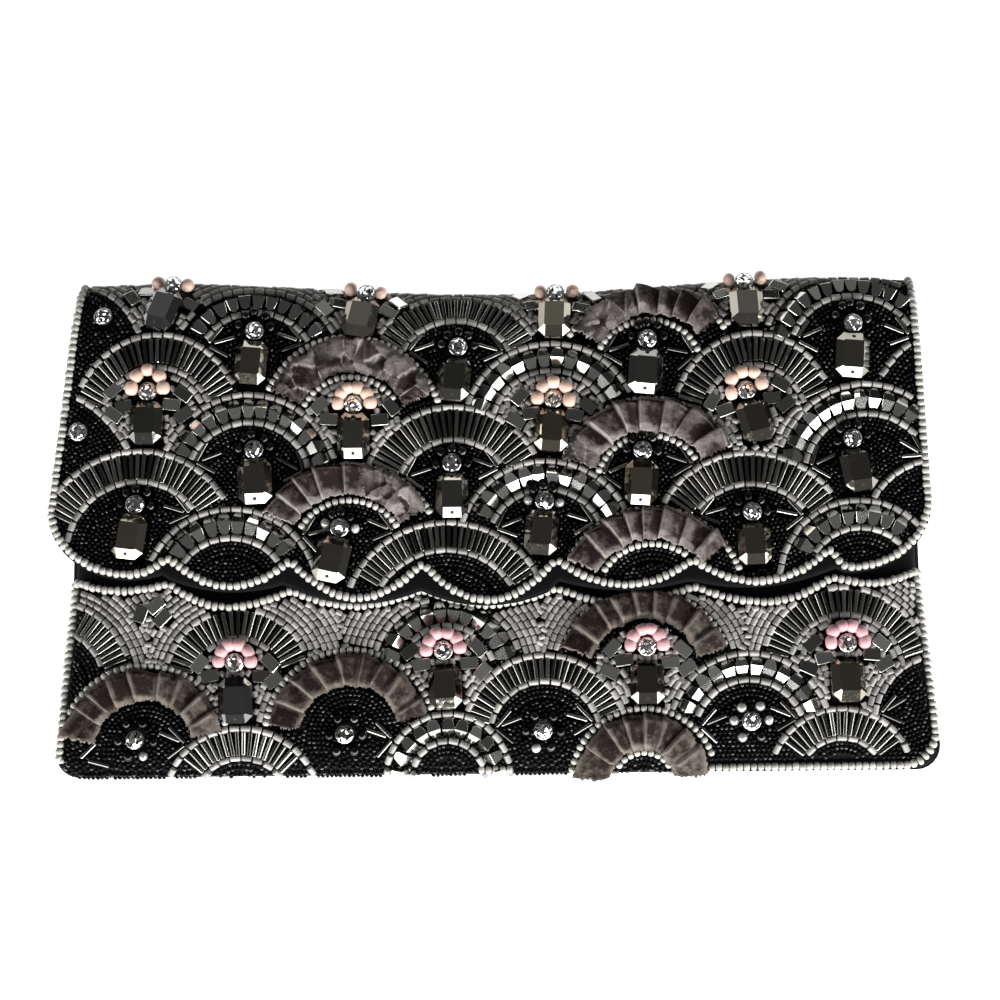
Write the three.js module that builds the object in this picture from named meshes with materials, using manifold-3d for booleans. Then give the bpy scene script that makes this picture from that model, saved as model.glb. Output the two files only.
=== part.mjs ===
// A beaded envelope clutch lying on its back: a hollow pouch of padded cloth, a flap that folds over
// its mouth, paved bead fields, sewn stones with round crystals, pink bead petals, pleated velvet
// ruffles and strings of edge beads.
// Millimetres. X runs across the bag, Y from its bottom edge to the fold, Z up from the table.
import * as THREE from "three";
import { mergeVertices } from "three/addons/utils/BufferGeometryUtils.js";
import Module from "manifold-3d";

const wasm = await Module();
wasm.setup();

// Pouch: a flat back panel and a domed front panel that meets it along three sides.
const BODY_X = 1.2; // the pouch sits a little right of the flap, as the sewn bag does
const BACK_HALF_WIDTH = 132.4;
const BACK_BOTTOM_Y = -77.1;
const BACK_CORNER = 7;
const FLARE = 0.09; // how fast the sides spread towards the bottom edge
const FLARE_FROM_Y = -22;
const SEAM_Y = 52; // where the flap is sewn to the back panel
const CLOTH = 2; // padded wall of the pouch
const GAP = 0.3;
const FRONT_HALF_WIDTH = 131.6;
const FRONT_BOTTOM_Y = -77.2;
const FRONT_MOUTH_Y = 56;
const FRONT_CORNER = 8;
const FRONT_SLOPE = 45; // how far the front takes to rise from the bottom seam
const FRONT_RISE = 11.7; // crest of the front above the seam plane
const SEAM_Z = CLOTH + GAP;

// Flap: one sheet from the back seam, round the fold and down to a wavy edge.
const FLAP_CLOTH = 1.8;
const FLAP_TOP_Z = 19;
const FLAP_HALF_AT_EDGE = 137.4;
const FLAP_HALF_AT_FOLD = 132.6;
const FLAP_X_AT_EDGE = -0.7;
const FLAP_X_AT_FOLD = 2.1;
const FLAP_TAPER_LENGTH = 70;
const FOLD_TIP_Y = 70.9;
const FOLD_TIP_Z = 9;
const FOLD_LENGTH = 26; // the top starts to curve down this far before the tip
const FOLD_UNDER = 10; // and runs back under the tip by this much
const FOLD_START_Y = FOLD_TIP_Y - FOLD_LENGTH;
const TIP_SWEEP = 4.7; // the fold's ends reach further out than its middle
const SWEEP_ACROSS = [0.05, 0.8]; // shares of the half width between which it grows
const SWEEP_FROM_Y = 30; // above which the cloth starts to follow that sweep
const FOLD_STEPS = { over: 16, under: 8 };
const DROOP = 0.24; // share of its height that the flap loses at its side edges

// Bead layer, strings and the things sewn over them, as heights above the cloth.
const BEAD_BASE = 0.25;
const BEAD_TOP = 2.25;
const STRING_DIAMETER = 2.4;
const STRING_HEIGHT = 1.5;
const STRING_INSET = 1.4;
const STRING_ROOM = 1.9; // from a string's centre line to the paved field
const TRIM_BASE = 2.6;
const RUFFLE_BASE = 3.0;
const RUFFLE_LOW = 1.6;
const RUFFLE_HIGH = 3.2;

// Stones, crystals and petals.
const STONE = { width: 10.5, length: 14.2, girdle: 1.6, height: 4.2, cut: 2.3 };
const STONE_TABLE = { width: 5.8, length: 8.7, cut: 0.4 };
const CRYSTAL = { base: 2.3, girdle: 2.8, girdleZ: 1.1, table: 1.5, height: 2.4 };
const THREAD = 0.9;
const PETAL_RADIUS = 2.05;
const PETAL_RING = 5.4;
const PETAL_SPREAD = 180; // degrees from the first petal to the last, over the crystal
const PETAL_BENDS = 5; // least number of points on the petals' thread
const SNAP_RADIUS = 7;
const SNAP_Y = -2;

// Scallop lattice that every motif hangs on.
const COLUMN_X = -104.5;
const COLUMN_PITCH = 31.3;
const ROWS = {
  a: { y: 62, shift: 0.5, crystal: 9.4 }, // crystal: from a stone's centre to the crystal above it
  b: { y: 45, shift: -1, crystal: 10.5 },
  c: { y: 27, shift: -1, crystal: 10.2 },
  d: { y: 9.5, shift: -2, crystal: 10.2 },
  e: { y: -9.5, shift: -5, crystal: 10.2 },
  f: { y: -26.5, shift: -3 },
  g: { y: -51, shift: -5.5, crystal: 11.5 },
  h: { y: -67, shift: -4.5 },
  i: { y: -82.5, shift: -6 },
};

// Points of the flap's bead edge: each cusp, and the low point of the scallop after it.
const EDGE_CUSPS = [
  { x: -99.5, y: -11.5, lowAfter: -21 },
  { x: -62, y: -13, lowAfter: -25 },
  { x: -21.5, y: -14.3, lowAfter: -26 },
  { x: 19.6, y: -13.7, lowAfter: -21.7 },
  { x: 61.7, y: -14, lowAfter: -21 },
  { x: 104.4, y: -10.7, lowAfter: null },
];
const EDGE_CORNER = { lowX: 110, lowY: -16.8, sideY: 5 };
const CLOTH_FOLLOW = 0.4; // the cloth edge follows the bead scallops only this much
const CLOTH_MARGIN = 1.6;
// The pouch's own bead line, under the flap's.
const POUCH_LINE = { cuspY: -21.8, endCuspY: -19.3, lowY: -26.8, endDip: 2.2, endRise: 3 };

// Sewn stones: lattice place, nudge in millimetres, lean in degrees and number of pink petals.
const STONES = [
  { row: "a", col: 0, dx: 1.5, dy: 0, lean: -17, petals: 2 },
  { row: "a", col: 2, dx: 1, dy: -1, lean: -8, petals: 2 },
  { row: "a", col: 4, dx: -1, dy: -0.5, lean: -4, petals: 2 },
  { row: "a", col: 6, dx: -3.5, dy: -0.5, lean: -2, petals: 2 },
  { row: "b", col: 1, dx: 0, dy: 2, lean: -4, petals: 0 },
  { row: "b", col: 3, dx: 0.5, dy: -2.5, lean: -6, petals: 0 },
  { row: "b", col: 5, dx: -3, dy: -1, lean: -6, petals: 0 },
  { row: "b", col: 7, dx: -1, dy: 2.5, lean: -4, petals: 0 },
  { row: "c", col: 0, dx: -1, dy: 3, lean: -1, petals: 5 },
  { row: "c", col: 2, dx: 0.5, dy: -2, lean: 0, petals: 6 },
  { row: "c", col: 4, dx: -1, dy: -1, lean: -4, petals: 5 },
  { row: "c", col: 6, dx: -0.5, dy: 1.5, lean: 15, petals: 5 },
  { row: "d", col: 1, dx: 2.5, dy: 1.5, lean: 2, petals: 0 },
  { row: "d", col: 3, dx: 0.5, dy: -3.5, lean: 0, petals: 0 },
  { row: "d", col: 5, dx: -4, dy: 0, lean: -4, petals: 0 },
  { row: "d", col: 7, dx: 0.5, dy: 3.5, lean: 8, petals: 0 },
  { row: "e", col: 0, dx: -1.5, dy: 4, lean: -8, petals: 0 },
  { row: "e", col: 2, dx: -2, dy: -4, lean: -13, petals: 0 },
  { row: "e", col: 4, dx: -0.5, dy: 3.5, lean: -6, petals: 0 },
  { row: "e", col: 6, dx: 2, dy: -0.5, lean: 2, petals: 0 },
  { row: "g", col: 1, dx: 0, dy: -4, lean: 1, petals: 6 },
  { row: "g", col: 3, dx: 1.5, dy: -1, lean: 3, petals: 6 },
  { row: "g", col: 5, dx: 0.5, dy: -0.5, lean: 0, petals: 6 },
  { row: "g", col: 7, dx: -1, dy: 0, lean: 0, petals: 6 },
];
// Crystals that stand alone in a black field.
const LONE_CRYSTALS = [
  { name: "crystal_left_upper", row: "a", col: -0.5, dx: -1.5, dy: -1.5 },
  { name: "crystal_left_lower", row: "c", col: -0.7, dx: -0.5, dy: 1 },
  { name: "crystal_h0", row: "h", col: 0, dx: -0.5, dy: 0.5 },
  { name: "crystal_h2", row: "h", col: 2, dx: 1, dy: 1.5 },
  { name: "crystal_h4", row: "h", col: 4, dx: -1, dy: 2 },
  { name: "crystal_h6", row: "h", col: 6, dx: 0, dy: 4 },
];
// Velvet ruffles: arcs about a scallop's centre, degrees from straight up, positive to the right.
const RUFFLES = [
  { row: "b", col: 5, dx: 0, dy: -2, inner: 18.5, outer: 26.5, from: -58, to: 52, pleats: 9, bends: 3 },
  { row: "c", col: 2, dx: 0, dy: 0.5, inner: 17.5, outer: 27, from: -61, to: 65, pleats: 10 },
  { row: "d", col: 5, dx: -1, dy: -1.5, inner: 18, outer: 27, from: -71, to: 60, pleats: 10 },
  { row: "e", col: 2, dx: 2.5, dy: -2, inner: 18.5, outer: 27, from: -59, to: 58, pleats: 10 },
  { row: "f", col: 5, dx: 0, dy: 0, inner: 18.5, outer: 27, from: -60, to: 42, pleats: 9 },
  { row: "g", col: 5, dx: 0, dy: 1.5, inner: 17.6, outer: 25.4, from: -70, to: 70, pleats: 11 },
  { row: "h", col: 0, dx: 2, dy: -3.5, inner: 15.5, outer: 25, from: -50, to: 62, pleats: 10 },
  { row: "h", col: 2, dx: 2.5, dy: 0.5, inner: 15.5, outer: 25, from: -75, to: 74, pleats: 11 },
  { row: "i", col: 5, dx: -0.5, dy: 1, inner: 11, outer: 21.5, from: -62, to: 62, pleats: 8 },
];
const FLAP_ROWS = "abcdef";
const RUFFLE_LOWEST_Y = -76.2; // the bottom ruffle is cut off along the pouch's lower edge

const material = (color, roughness, metalness = 0) =>
  new THREE.MeshStandardMaterial({ color, roughness, metalness });
const FINISH = {
  satin: material(0x0b0b0c, 0.45),
  paved: material(0x2b2a2a, 0.4, 0.3),
  ivory: material(0xd8d6cf, 0.45),
  stone: material(0x2e2d2a, 0.12, 0.6),
  crystal: material(0xd7dade, 0.08),
  pink: material(0xdcaaa2, 0.35),
  velvet: material(0x4a413f, 0.9),
  snap: material(0x8c8a86, 0.3, 0.9),
};

const clamp = THREE.MathUtils.clamp;
const lerp = THREE.MathUtils.lerp;
const smooth = THREE.MathUtils.smoothstep;

// The flap's section at its middle, as samples of place, outward normal and length along the cloth.
function foldSamples() {
  const samples = [];
  const add = (y, z, ny, nz) => {
    const last = samples.at(-1);
    const q = last ? last.q + Math.hypot(y - last.y, z - last.z) : y;
    samples.push({ q, y, z, ny, nz });
  };
  const quarter = (start, reach, rise, steps) => {
    for (let k = samples.length ? 1 : 0; k <= steps; k++) {
      const turn = start + (Math.PI / 2) * (k / steps);
      const along = Math.sin(turn);
      const up = Math.cos(turn);
      const normal = new THREE.Vector2(along / reach, up / rise).normalize();
      add(FOLD_TIP_Y - reach + reach * along, FOLD_TIP_Z + rise * up, normal.x, normal.y);
    }
  };
  quarter(0, FOLD_LENGTH, FLAP_TOP_Z - FOLD_TIP_Z, FOLD_STEPS.over);
  quarter(Math.PI / 2, FOLD_UNDER, FOLD_TIP_Z, FOLD_STEPS.under);
  add(SEAM_Y + GAP, 0, 0, -1);
  return samples;
}
const FOLD = foldSamples();
const FOLD_FLOOR_Q = FOLD.at(-2).q;
const FOLD_TIP_Q = FOLD[FOLD_STEPS.over].q;
const SEAM_Q = FOLD.at(-1).q;

function foldAt(q) {
  if (q <= FOLD_START_Y) return { y: q, z: FLAP_TOP_Z, ny: 0, nz: 1 };
  const k = Math.max(1, FOLD.findIndex((s) => s.q >= Math.min(q, SEAM_Q) - 1e-9));
  const [a, b] = [FOLD[k - 1], FOLD[k]];
  const t = clamp((q - a.q) / (b.q - a.q), 0, 1);
  const normal = new THREE.Vector2(lerp(a.ny, b.ny, t), lerp(a.nz, b.nz, t)).normalize();
  return { y: lerp(a.y, b.y, t), z: lerp(a.z, b.z, t), ny: normal.x, nz: normal.y };
}

const flapShare = (q) => clamp(q / FLAP_TAPER_LENGTH, 0, 1.1);
const flapCentre = (q) => lerp(FLAP_X_AT_EDGE, FLAP_X_AT_FOLD, flapShare(q));
const flapHalf = (q) => lerp(FLAP_HALF_AT_EDGE, FLAP_HALF_AT_FOLD, flapShare(q));

// A point on the flap: x across, q along the cloth (equal to Y before the fold), height off the cloth.
function flapPoint(x, q, height) {
  const s = foldAt(q);
  const u = clamp((x - flapCentre(q)) / flapHalf(q), -1, 1);
  const sweep = TIP_SWEEP * smooth(Math.abs(u), ...SWEEP_ACROSS) * smooth(s.y, SWEEP_FROM_Y, FOLD_TIP_Y);
  return new THREE.Vector3(x, s.y + sweep + height * s.ny, s.z * (1 - DROOP * u ** 4) + height * s.nz);
}

// How far a rounded corner draws a side in, at a rise above its bottom edge.
const cornerBack = (rise, radius) => {
  const left = radius - clamp(rise, 0, radius);
  return radius - Math.sqrt(radius ** 2 - left ** 2);
};
const flare = (y) => FLARE * Math.max(0, FLARE_FROM_Y - y);
const frontHalf = (y) => FRONT_HALF_WIDTH + flare(y) - cornerBack(y - FRONT_BOTTOM_Y, FRONT_CORNER);

function frontHeight(x, y) {
  const u = clamp(Math.abs(x - BODY_X) / frontHalf(y), 0, 1);
  const v = clamp((y - FRONT_BOTTOM_Y) / FRONT_SLOPE, 0, 1);
  return SEAM_Z + FRONT_RISE * Math.sqrt(1 - u ** 8) * Math.sqrt(1 - (1 - v) ** 2);
}

// A point over the pouch's front, raised along the surface normal.
function frontPoint(x, y, height) {
  const step = 0.25;
  const dx = (frontHeight(x + step, y) - frontHeight(x - step, y)) / (2 * step);
  const dy = (frontHeight(x, y + step) - frontHeight(x, y - step)) / (2 * step);
  const normal = new THREE.Vector3(-dx, -dy, 1).normalize();
  return new THREE.Vector3(x, y, frontHeight(x, y)).addScaledVector(normal, height);
}

// The scallop that x falls in, and how far across it x lies, from -1 at one cusp to 1 at the next.
function scallopAt(x) {
  const k = clamp(EDGE_CUSPS.findLastIndex((c) => c.x <= x), 0, EDGE_CUSPS.length - 2);
  const [a, b] = [EDGE_CUSPS[k], EDGE_CUSPS[k + 1]];
  return { a, b, w: (2 * x - a.x - b.x) / (b.x - a.x) };
}

const endCusp = (x) => [EDGE_CUSPS[0], EDGE_CUSPS.at(-1)].find((cusp) => x / cusp.x > 1);

// The flap's scalloped edge at x, for an outline that ends at half to each side and hangs lower by
// margin. Follow 1 gives the bead line, less gives a flatter wave.
function edgeY(x, follow, half, margin) {
  if (endCusp(x)) return cornerY(x, endCusp(x), follow, half, margin);
  const { a, b, w } = scallopAt(x);
  const cusp = lerp(a.y, b.y, (w + 1) / 2);
  const depth = (a.y + b.y) / 2 - a.lowAfter;
  return cusp - depth * (1 - follow * w * w) - margin;
}

function cornerY(x, cusp, follow, half, margin) {
  const { lowX, sideY } = EDGE_CORNER;
  const lowY = EDGE_CORNER.lowY - margin;
  const across = Math.abs(x - FLAP_X_AT_EDGE);
  const out = (across - lowX) / (half - lowX);
  if (out > 0) return sideY - (sideY - lowY) * Math.sqrt(Math.max(0, 1 - out * out));
  const back = (lowX - across) / (lowX - Math.abs(cusp.x - FLAP_X_AT_EDGE));
  return lowY + follow * (cusp.y - EDGE_CORNER.lowY) * back * back;
}

const STRING_MARGIN = STRING_INSET + STRING_ROOM;
const FIELD_LIFT = 2.9; // from the string's line straight up to the paved field
const clothEdgeY = (x) => edgeY(x, CLOTH_FOLLOW, FLAP_HALF_AT_EDGE, CLOTH_MARGIN);
const beadLineY = (x) => edgeY(x, 1, FLAP_HALF_AT_EDGE - STRING_INSET, 0);
const fieldEdgeY = (x) => edgeY(x, 1, FLAP_HALF_AT_EDGE - STRING_MARGIN, -FIELD_LIFT);

// The bead line across the pouch's front, with the flap's scallops and rising ends.
function pouchLineY(x) {
  const { cuspY, endCuspY, lowY, endDip, endRise } = POUCH_LINE;
  const end = endCusp(x);
  if (end) {
    const out = Math.abs(x - end.x) / (FRONT_HALF_WIDTH - Math.abs(end.x));
    return endCuspY - endDip * Math.sin(Math.PI * Math.min(out, 1)) + endRise * out ** 3;
  }
  const { a, b, w } = scallopAt(x);
  const atEnd = (c) => c === EDGE_CUSPS[0] || c === EDGE_CUSPS.at(-1);
  const [left, right] = [a, b].map((c) => (atEnd(c) ? endCuspY : cuspY));
  return lowY + (lerp(left, right, (w + 1) / 2) - lowY) * w * w;
}

// Columns across the flap that fall on the cusps, the low points and the rounded corners.
function edgeColumns() {
  const corner = [0.2, 0.4, 0.6, 0.8, 0.94, 1];
  const [first, last] = [EDGE_CUSPS[0], EDGE_CUSPS.at(-1)];
  const [left, right] = [FLAP_X_AT_EDGE - FLAP_HALF_AT_EDGE, FLAP_X_AT_EDGE + FLAP_HALF_AT_EDGE];
  const columns = corner.map((t) => lerp(first.x, left, t)).reverse();
  EDGE_CUSPS.slice(0, -1).forEach((cusp, k) => {
    const width = EDGE_CUSPS[k + 1].x - cusp.x;
    [0, 0.25, 0.5, 0.75].forEach((t) => columns.push(cusp.x + t * width));
  });
  columns.push(last.x);
  corner.forEach((t) => columns.push(lerp(last.x, right, t)));
  return columns.map((x) => (x - FLAP_X_AT_EDGE) / FLAP_HALF_AT_EDGE);
}
const COLUMNS = edgeColumns();

const ROWS_ON_TOP = 3;

// A box of cols by rows by one cell whose corners are moved by place(column, row, side).
function bentBox(cols, rows, place) {
  const box = new THREE.BoxGeometry(1, 1, 1, cols, rows, 1);
  const at = box.getAttribute("position");
  for (let k = 0; k < at.count; k++) {
    const col = Math.round((at.getX(k) + 0.5) * cols);
    const row = Math.round((at.getY(k) + 0.5) * rows);
    const p = place(col, row, at.getZ(k) > 0 ? 1 : 0);
    at.setXYZ(k, p.x, p.y, p.z);
  }
  return box;
}

const bare = (geometry) => {
  const g = geometry.clone();
  g.deleteAttribute("normal");
  g.deleteAttribute("uv");
  return mergeVertices(g, 1e-4);
};

function solid(geometry) {
  const g = bare(geometry);
  const vertProperties = new Float32Array(g.getAttribute("position").array);
  const triVerts = new Uint32Array(g.index.array);
  return new wasm.Manifold(new wasm.Mesh({ numProp: 3, vertProperties, triVerts }));
}

function geometryOf(made) {
  const mesh = made.getMesh();
  const geometry = new THREE.BufferGeometry();
  geometry.setAttribute("position", new THREE.BufferAttribute(mesh.vertProperties, 3));
  geometry.setIndex(new THREE.BufferAttribute(mesh.triVerts, 1));
  return geometry;
}

const join = (geometries) => geometryOf(geometries.map(solid).reduce((a, b) => a.add(b)));

// A solid with straight sides between outlines of equal length at rising heights.
function stacked(outlines) {
  const count = outlines[0].points.length;
  const box = new THREE.CylinderGeometry(1, 1, 1, count, outlines.length - 1, false);
  box.rotateX(Math.PI / 2);
  const at = box.getAttribute("position");
  for (let k = 0; k < at.count; k++) {
    const level = outlines[Math.round((at.getZ(k) + 0.5) * (outlines.length - 1))];
    const centre = Math.hypot(at.getX(k), at.getY(k)) < 0.5;
    const turn = Math.atan2(at.getY(k), at.getX(k)) / (2 * Math.PI);
    const p = level.points[((Math.round(turn * count) % count) + count) % count];
    at.setXYZ(k, centre ? 0 : p.x, centre ? 0 : p.y, level.z);
  }
  return box;
}

// An octagon with equal corner cuts, counted anticlockwise from the +X side.
function cutRectangle(width, length, cut) {
  const [w, l] = [width / 2, length / 2];
  const corners = [[w, l - cut], [w - cut, l], [cut - w, l], [-w, l - cut]];
  const upper = corners.map(([x, y]) => new THREE.Vector2(x, y));
  return [...upper, ...upper.map((p) => p.clone().negate())];
}

// The frame on a surface at (x, y): X across, Y along the cloth, Z out of it.
function frameOn(surface, x, y, height, lean = 0) {
  const step = 0.5;
  const across = surface(x + step, y, height).sub(surface(x - step, y, height)).normalize();
  const along = surface(x, y + step, height).sub(surface(x, y - step, height));
  const out = across.clone().cross(along).normalize();
  const basis = new THREE.Matrix4().makeBasis(across, out.clone().cross(across), out);
  return basis.multiply(new THREE.Matrix4().makeRotationZ(THREE.MathUtils.degToRad(lean)))
    .setPosition(surface(x, y, height));
}

const surfaceOf = (row) => (FLAP_ROWS.includes(row) ? flapPoint : frontPoint);
const latticePlace = ({ row, col, dx, dy }) => ({
  x: COLUMN_X + COLUMN_PITCH * col + ROWS[row].shift + dx,
  y: ROWS[row].y + dy,
});

const clutch = new THREE.Group();
function addPiece(name, geometry, finish, matrix) {
  const mesh = new THREE.Mesh(geometry, finish);
  mesh.name = name;
  if (matrix) matrix.decompose(mesh.position, mesh.quaternion, mesh.scale);
  clutch.add(mesh);
}

function addBackPanel() {
  const cornerY = BACK_BOTTOM_Y + BACK_CORNER;
  const low = BACK_HALF_WIDTH + flare(cornerY) - BACK_CORNER;
  const outline = new THREE.Shape();
  outline.moveTo(BODY_X - BACK_HALF_WIDTH, SEAM_Y);
  outline.lineTo(BODY_X - BACK_HALF_WIDTH, FLARE_FROM_Y);
  outline.absarc(BODY_X - low, cornerY, BACK_CORNER, Math.PI, 1.5 * Math.PI);
  outline.absarc(BODY_X + low, cornerY, BACK_CORNER, 1.5 * Math.PI, 2 * Math.PI);
  outline.lineTo(BODY_X + BACK_HALF_WIDTH, FLARE_FROM_Y);
  outline.lineTo(BODY_X + BACK_HALF_WIDTH, SEAM_Y);
  const options = { depth: CLOTH, bevelEnabled: false, curveSegments: 3 };
  addPiece("back_panel", new THREE.ExtrudeGeometry(outline, options), FINISH.satin);
}

function addFrontPanel() {
  const [cols, rows] = [22, 9];
  const place = (col, row, side) => {
    const inset = side ? 0 : CLOTH;
    const u = Math.sin(Math.PI * (col / cols - 0.5));
    const v = 1 - Math.cos((Math.PI / 2) * (row / rows));
    const y = lerp(FRONT_BOTTOM_Y, FRONT_MOUTH_Y, v);
    const rise = (frontHeight(BODY_X + u * frontHalf(y), y) - SEAM_Z) / FRONT_RISE;
    const yIn = lerp(FRONT_BOTTOM_Y + inset, FRONT_MOUTH_Y, v);
    const x = BODY_X + u * (frontHalf(y) - inset);
    return new THREE.Vector3(x, yIn, SEAM_Z + rise * (FRONT_RISE - inset));
  };
  addPiece("front_panel", bentBox(cols, rows, place), FINISH.satin);
}

// Stations along the flap's cloth, from the back seam over the fold to the top of the flap.
const PAVED_UNDER = 2 / 3; // where under the tip, from floor to tip, the paving starts
function flapStations(fromQ) {
  const under = [0, 1 / 3, PAVED_UNDER].map((t) => lerp(FOLD_FLOOR_Q, FOLD_TIP_Q, t));
  const over = [1, 0.86, 0.7, 0.5, 0.25, 0].map((t) => lerp(FOLD_START_Y, FOLD_TIP_Q, t));
  return [SEAM_Q, ...under, ...over].filter((q) => q <= fromQ);
}

function addFlap() {
  const stations = flapStations(SEAM_Q);
  const rows = stations.length - 1 + ROWS_ON_TOP;
  const place = (col, row, side) => {
    const u = COLUMNS[col];
    const edge = clothEdgeY(FLAP_X_AT_EDGE + u * FLAP_HALF_AT_EDGE);
    const down = rows - row;
    const q = stations[down] ?? lerp(FOLD_START_Y, edge, (down - stations.length + 1) / ROWS_ON_TOP);
    return flapPoint(flapCentre(q) + u * flapHalf(q), q, side ? 0 : -FLAP_CLOTH);
  };
  addPiece("flap", bentBox(COLUMNS.length - 1, rows, place), FINISH.satin);
}

function addFlapBeading() {
  const stations = flapStations(lerp(FOLD_FLOOR_Q, FOLD_TIP_Q, PAVED_UNDER));
  const rows = stations.length - 1 + ROWS_ON_TOP;
  const place = (col, row, side) => {
    const u = COLUMNS[col];
    const edge = fieldEdgeY(FLAP_X_AT_EDGE + u * (FLAP_HALF_AT_EDGE - STRING_MARGIN));
    const down = rows - row;
    const q = stations[down] ?? lerp(FOLD_START_Y, edge, (down - stations.length + 1) / ROWS_ON_TOP);
    const x = flapCentre(q) + u * (flapHalf(q) - STRING_MARGIN);
    return flapPoint(x, q, side ? BEAD_TOP : BEAD_BASE);
  };
  addPiece("flap_beading", bentBox(COLUMNS.length - 1, rows, place), FINISH.paved);
}

function addFrontBeading() {
  const [cols, rows] = [34, 5];
  const widest = FRONT_HALF_WIDTH - STRING_MARGIN;
  const bottom = FRONT_BOTTOM_Y + STRING_MARGIN;
  const place = (col, row, side) => {
    const u = Math.sin(Math.PI * 0.5 * Math.sin(Math.PI * (col / cols - 0.5)));
    const top = pouchLineY(BODY_X + u * widest) - FIELD_LIFT;
    const y = lerp(bottom, top, 1 - Math.cos((Math.PI / 2) * (row / rows)));
    const half = widest + flare(y) - cornerBack(y - bottom, FRONT_CORNER);
    return frontPoint(BODY_X + u * half, y, side ? BEAD_TOP : BEAD_BASE);
  };
  addPiece("front_beading", bentBox(cols, rows, place), FINISH.paved);
}

// A round string of beads along points that lie on the cloth.
function addString(name, points, steps) {
  const section = new THREE.Shape().absarc(0, 0, STRING_DIAMETER / 2, 0, 2 * Math.PI);
  const path = new THREE.CatmullRomCurve3(points, false, "centripetal");
  const options = { steps, curveSegments: 4, extrudePath: path };
  addPiece(name, new THREE.ExtrudeGeometry(section, options), FINISH.ivory);
}

// Places along a scalloped line, closer together at its ends, with each cusp rounded to a bend that
// a string of beads can take.
const RUN_STEPS = 66;
const RUN_ROUNDING = [-2, -1, 0, 1, 2];
function edgeRun(line, half, centre) {
  const run = [];
  for (let k = 0; k <= RUN_STEPS; k++) {
    const x = centre + half * Math.sin(Math.PI * (k / RUN_STEPS - 0.5));
    const near = RUN_ROUNDING.map((step) => line(clamp(x + step, centre - half, centre + half)));
    run.push({ x, y: near.reduce((sum, y) => sum + y) / near.length });
  }
  return run;
}

function addFlapString() {
  const half = FLAP_HALF_AT_EDGE - STRING_INSET;
  const sideQs = [FOLD_TIP_Q - 3, 66.5, 63, 58, 52, 46, 34, 22, 11];
  const sidePoint = (q, sign) => {
    return flapPoint(flapCentre(q) + sign * (flapHalf(q) - STRING_INSET), q, STRING_HEIGHT);
  };
  const edge = edgeRun(beadLineY, half, FLAP_X_AT_EDGE).map(({ x, y }) => flapPoint(x, y, STRING_HEIGHT));
  const left = sideQs.map((q) => sidePoint(q, -1));
  const right = sideQs.map((q) => sidePoint(q, 1)).reverse();
  addString("flap_edge_string", [...left, ...edge, ...right], 84);
}

function addPouchString() {
  const half = FRONT_HALF_WIDTH - STRING_INSET;
  const bottomY = FRONT_BOTTOM_Y + STRING_INSET;
  const bend = FRONT_CORNER + 1;
  const lift = (x, y) => frontPoint(x, y, STRING_HEIGHT);
  const cornerX = BODY_X + half + flare(bottomY + bend) - bend;
  const cornerPoint = (turn) => {
    const angle = THREE.MathUtils.degToRad(turn);
    return lift(cornerX + bend * Math.cos(angle), bottomY + bend - bend * Math.sin(angle));
  };
  const sideYs = [-62, -52, -42, -32];
  const left = sideYs.map((y) => lift(BODY_X - half - flare(y), y));
  const top = edgeRun(pouchLineY, half, BODY_X).map(({ x, y }) => lift(x, y));
  const right = sideYs.map((y) => lift(BODY_X + half + flare(y), y)).reverse();
  const corner = [15, 45, 75].map(cornerPoint);
  const bottom = [114, 92, 69].map((x) => lift(BODY_X + x, bottomY));
  addString("pouch_edge_string", [...left, ...top, ...right, ...corner, ...bottom], 66);
}

function crystalGeometry() {
  const { base, girdle, girdleZ, table, height } = CRYSTAL;
  const profile = [[0, 0], [base, 0], [girdle, girdleZ], [table, height], [0, height]];
  const lathe = new THREE.LatheGeometry(profile.map(([r, z]) => new THREE.Vector2(r, z)), 8);
  return lathe.rotateX(Math.PI / 2);
}

// A step-cut stone, its round crystal and the thread that sews them on together.
function stoneGeometry(step) {
  const { width, length, girdle, height, cut } = STONE;
  const stone = stacked([
    { z: 0, points: cutRectangle(width, length, cut) },
    { z: girdle, points: cutRectangle(width, length, cut) },
    { z: height, points: cutRectangle(STONE_TABLE.width, STONE_TABLE.length, STONE_TABLE.cut) },
  ]);
  const crystal = crystalGeometry().translate(0, step, 0);
  const stitch = new THREE.BoxGeometry(THREAD, 4, THREAD).translate(0, length / 2 + 0.2, THREAD);
  return join([stone, stitch, crystal]);
}

function addStones() {
  STONES.forEach((entry) => {
    const { x, y } = latticePlace(entry);
    const frame = frameOn(surfaceOf(entry.row), x, y, TRIM_BASE, entry.lean);
    const stone = stoneGeometry(ROWS[entry.row].crystal);
    addPiece(`stone_${entry.row}${entry.col}`, stone, FINISH.stone, frame);
  });
  LONE_CRYSTALS.forEach((entry) => {
    const { x, y } = latticePlace(entry);
    const frame = frameOn(surfaceOf(entry.row), x, y, TRIM_BASE);
    addPiece(entry.name, crystalGeometry(), FINISH.crystal, frame);
  });
}

// A straight run of thread between two points.
function threadBetween(from, to) {
  const run = new THREE.Vector3().subVectors(to, from);
  const rod = new THREE.CylinderGeometry(THREAD / 2, THREAD / 2, run.length(), 5);
  const turn = new THREE.Quaternion().setFromUnitVectors(new THREE.Vector3(0, 1, 0), run.normalize());
  const middle = new THREE.Vector3().addVectors(from, to).multiplyScalar(0.5);
  return rod.applyQuaternion(turn).translate(middle.x, middle.y, middle.z);
}

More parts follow.
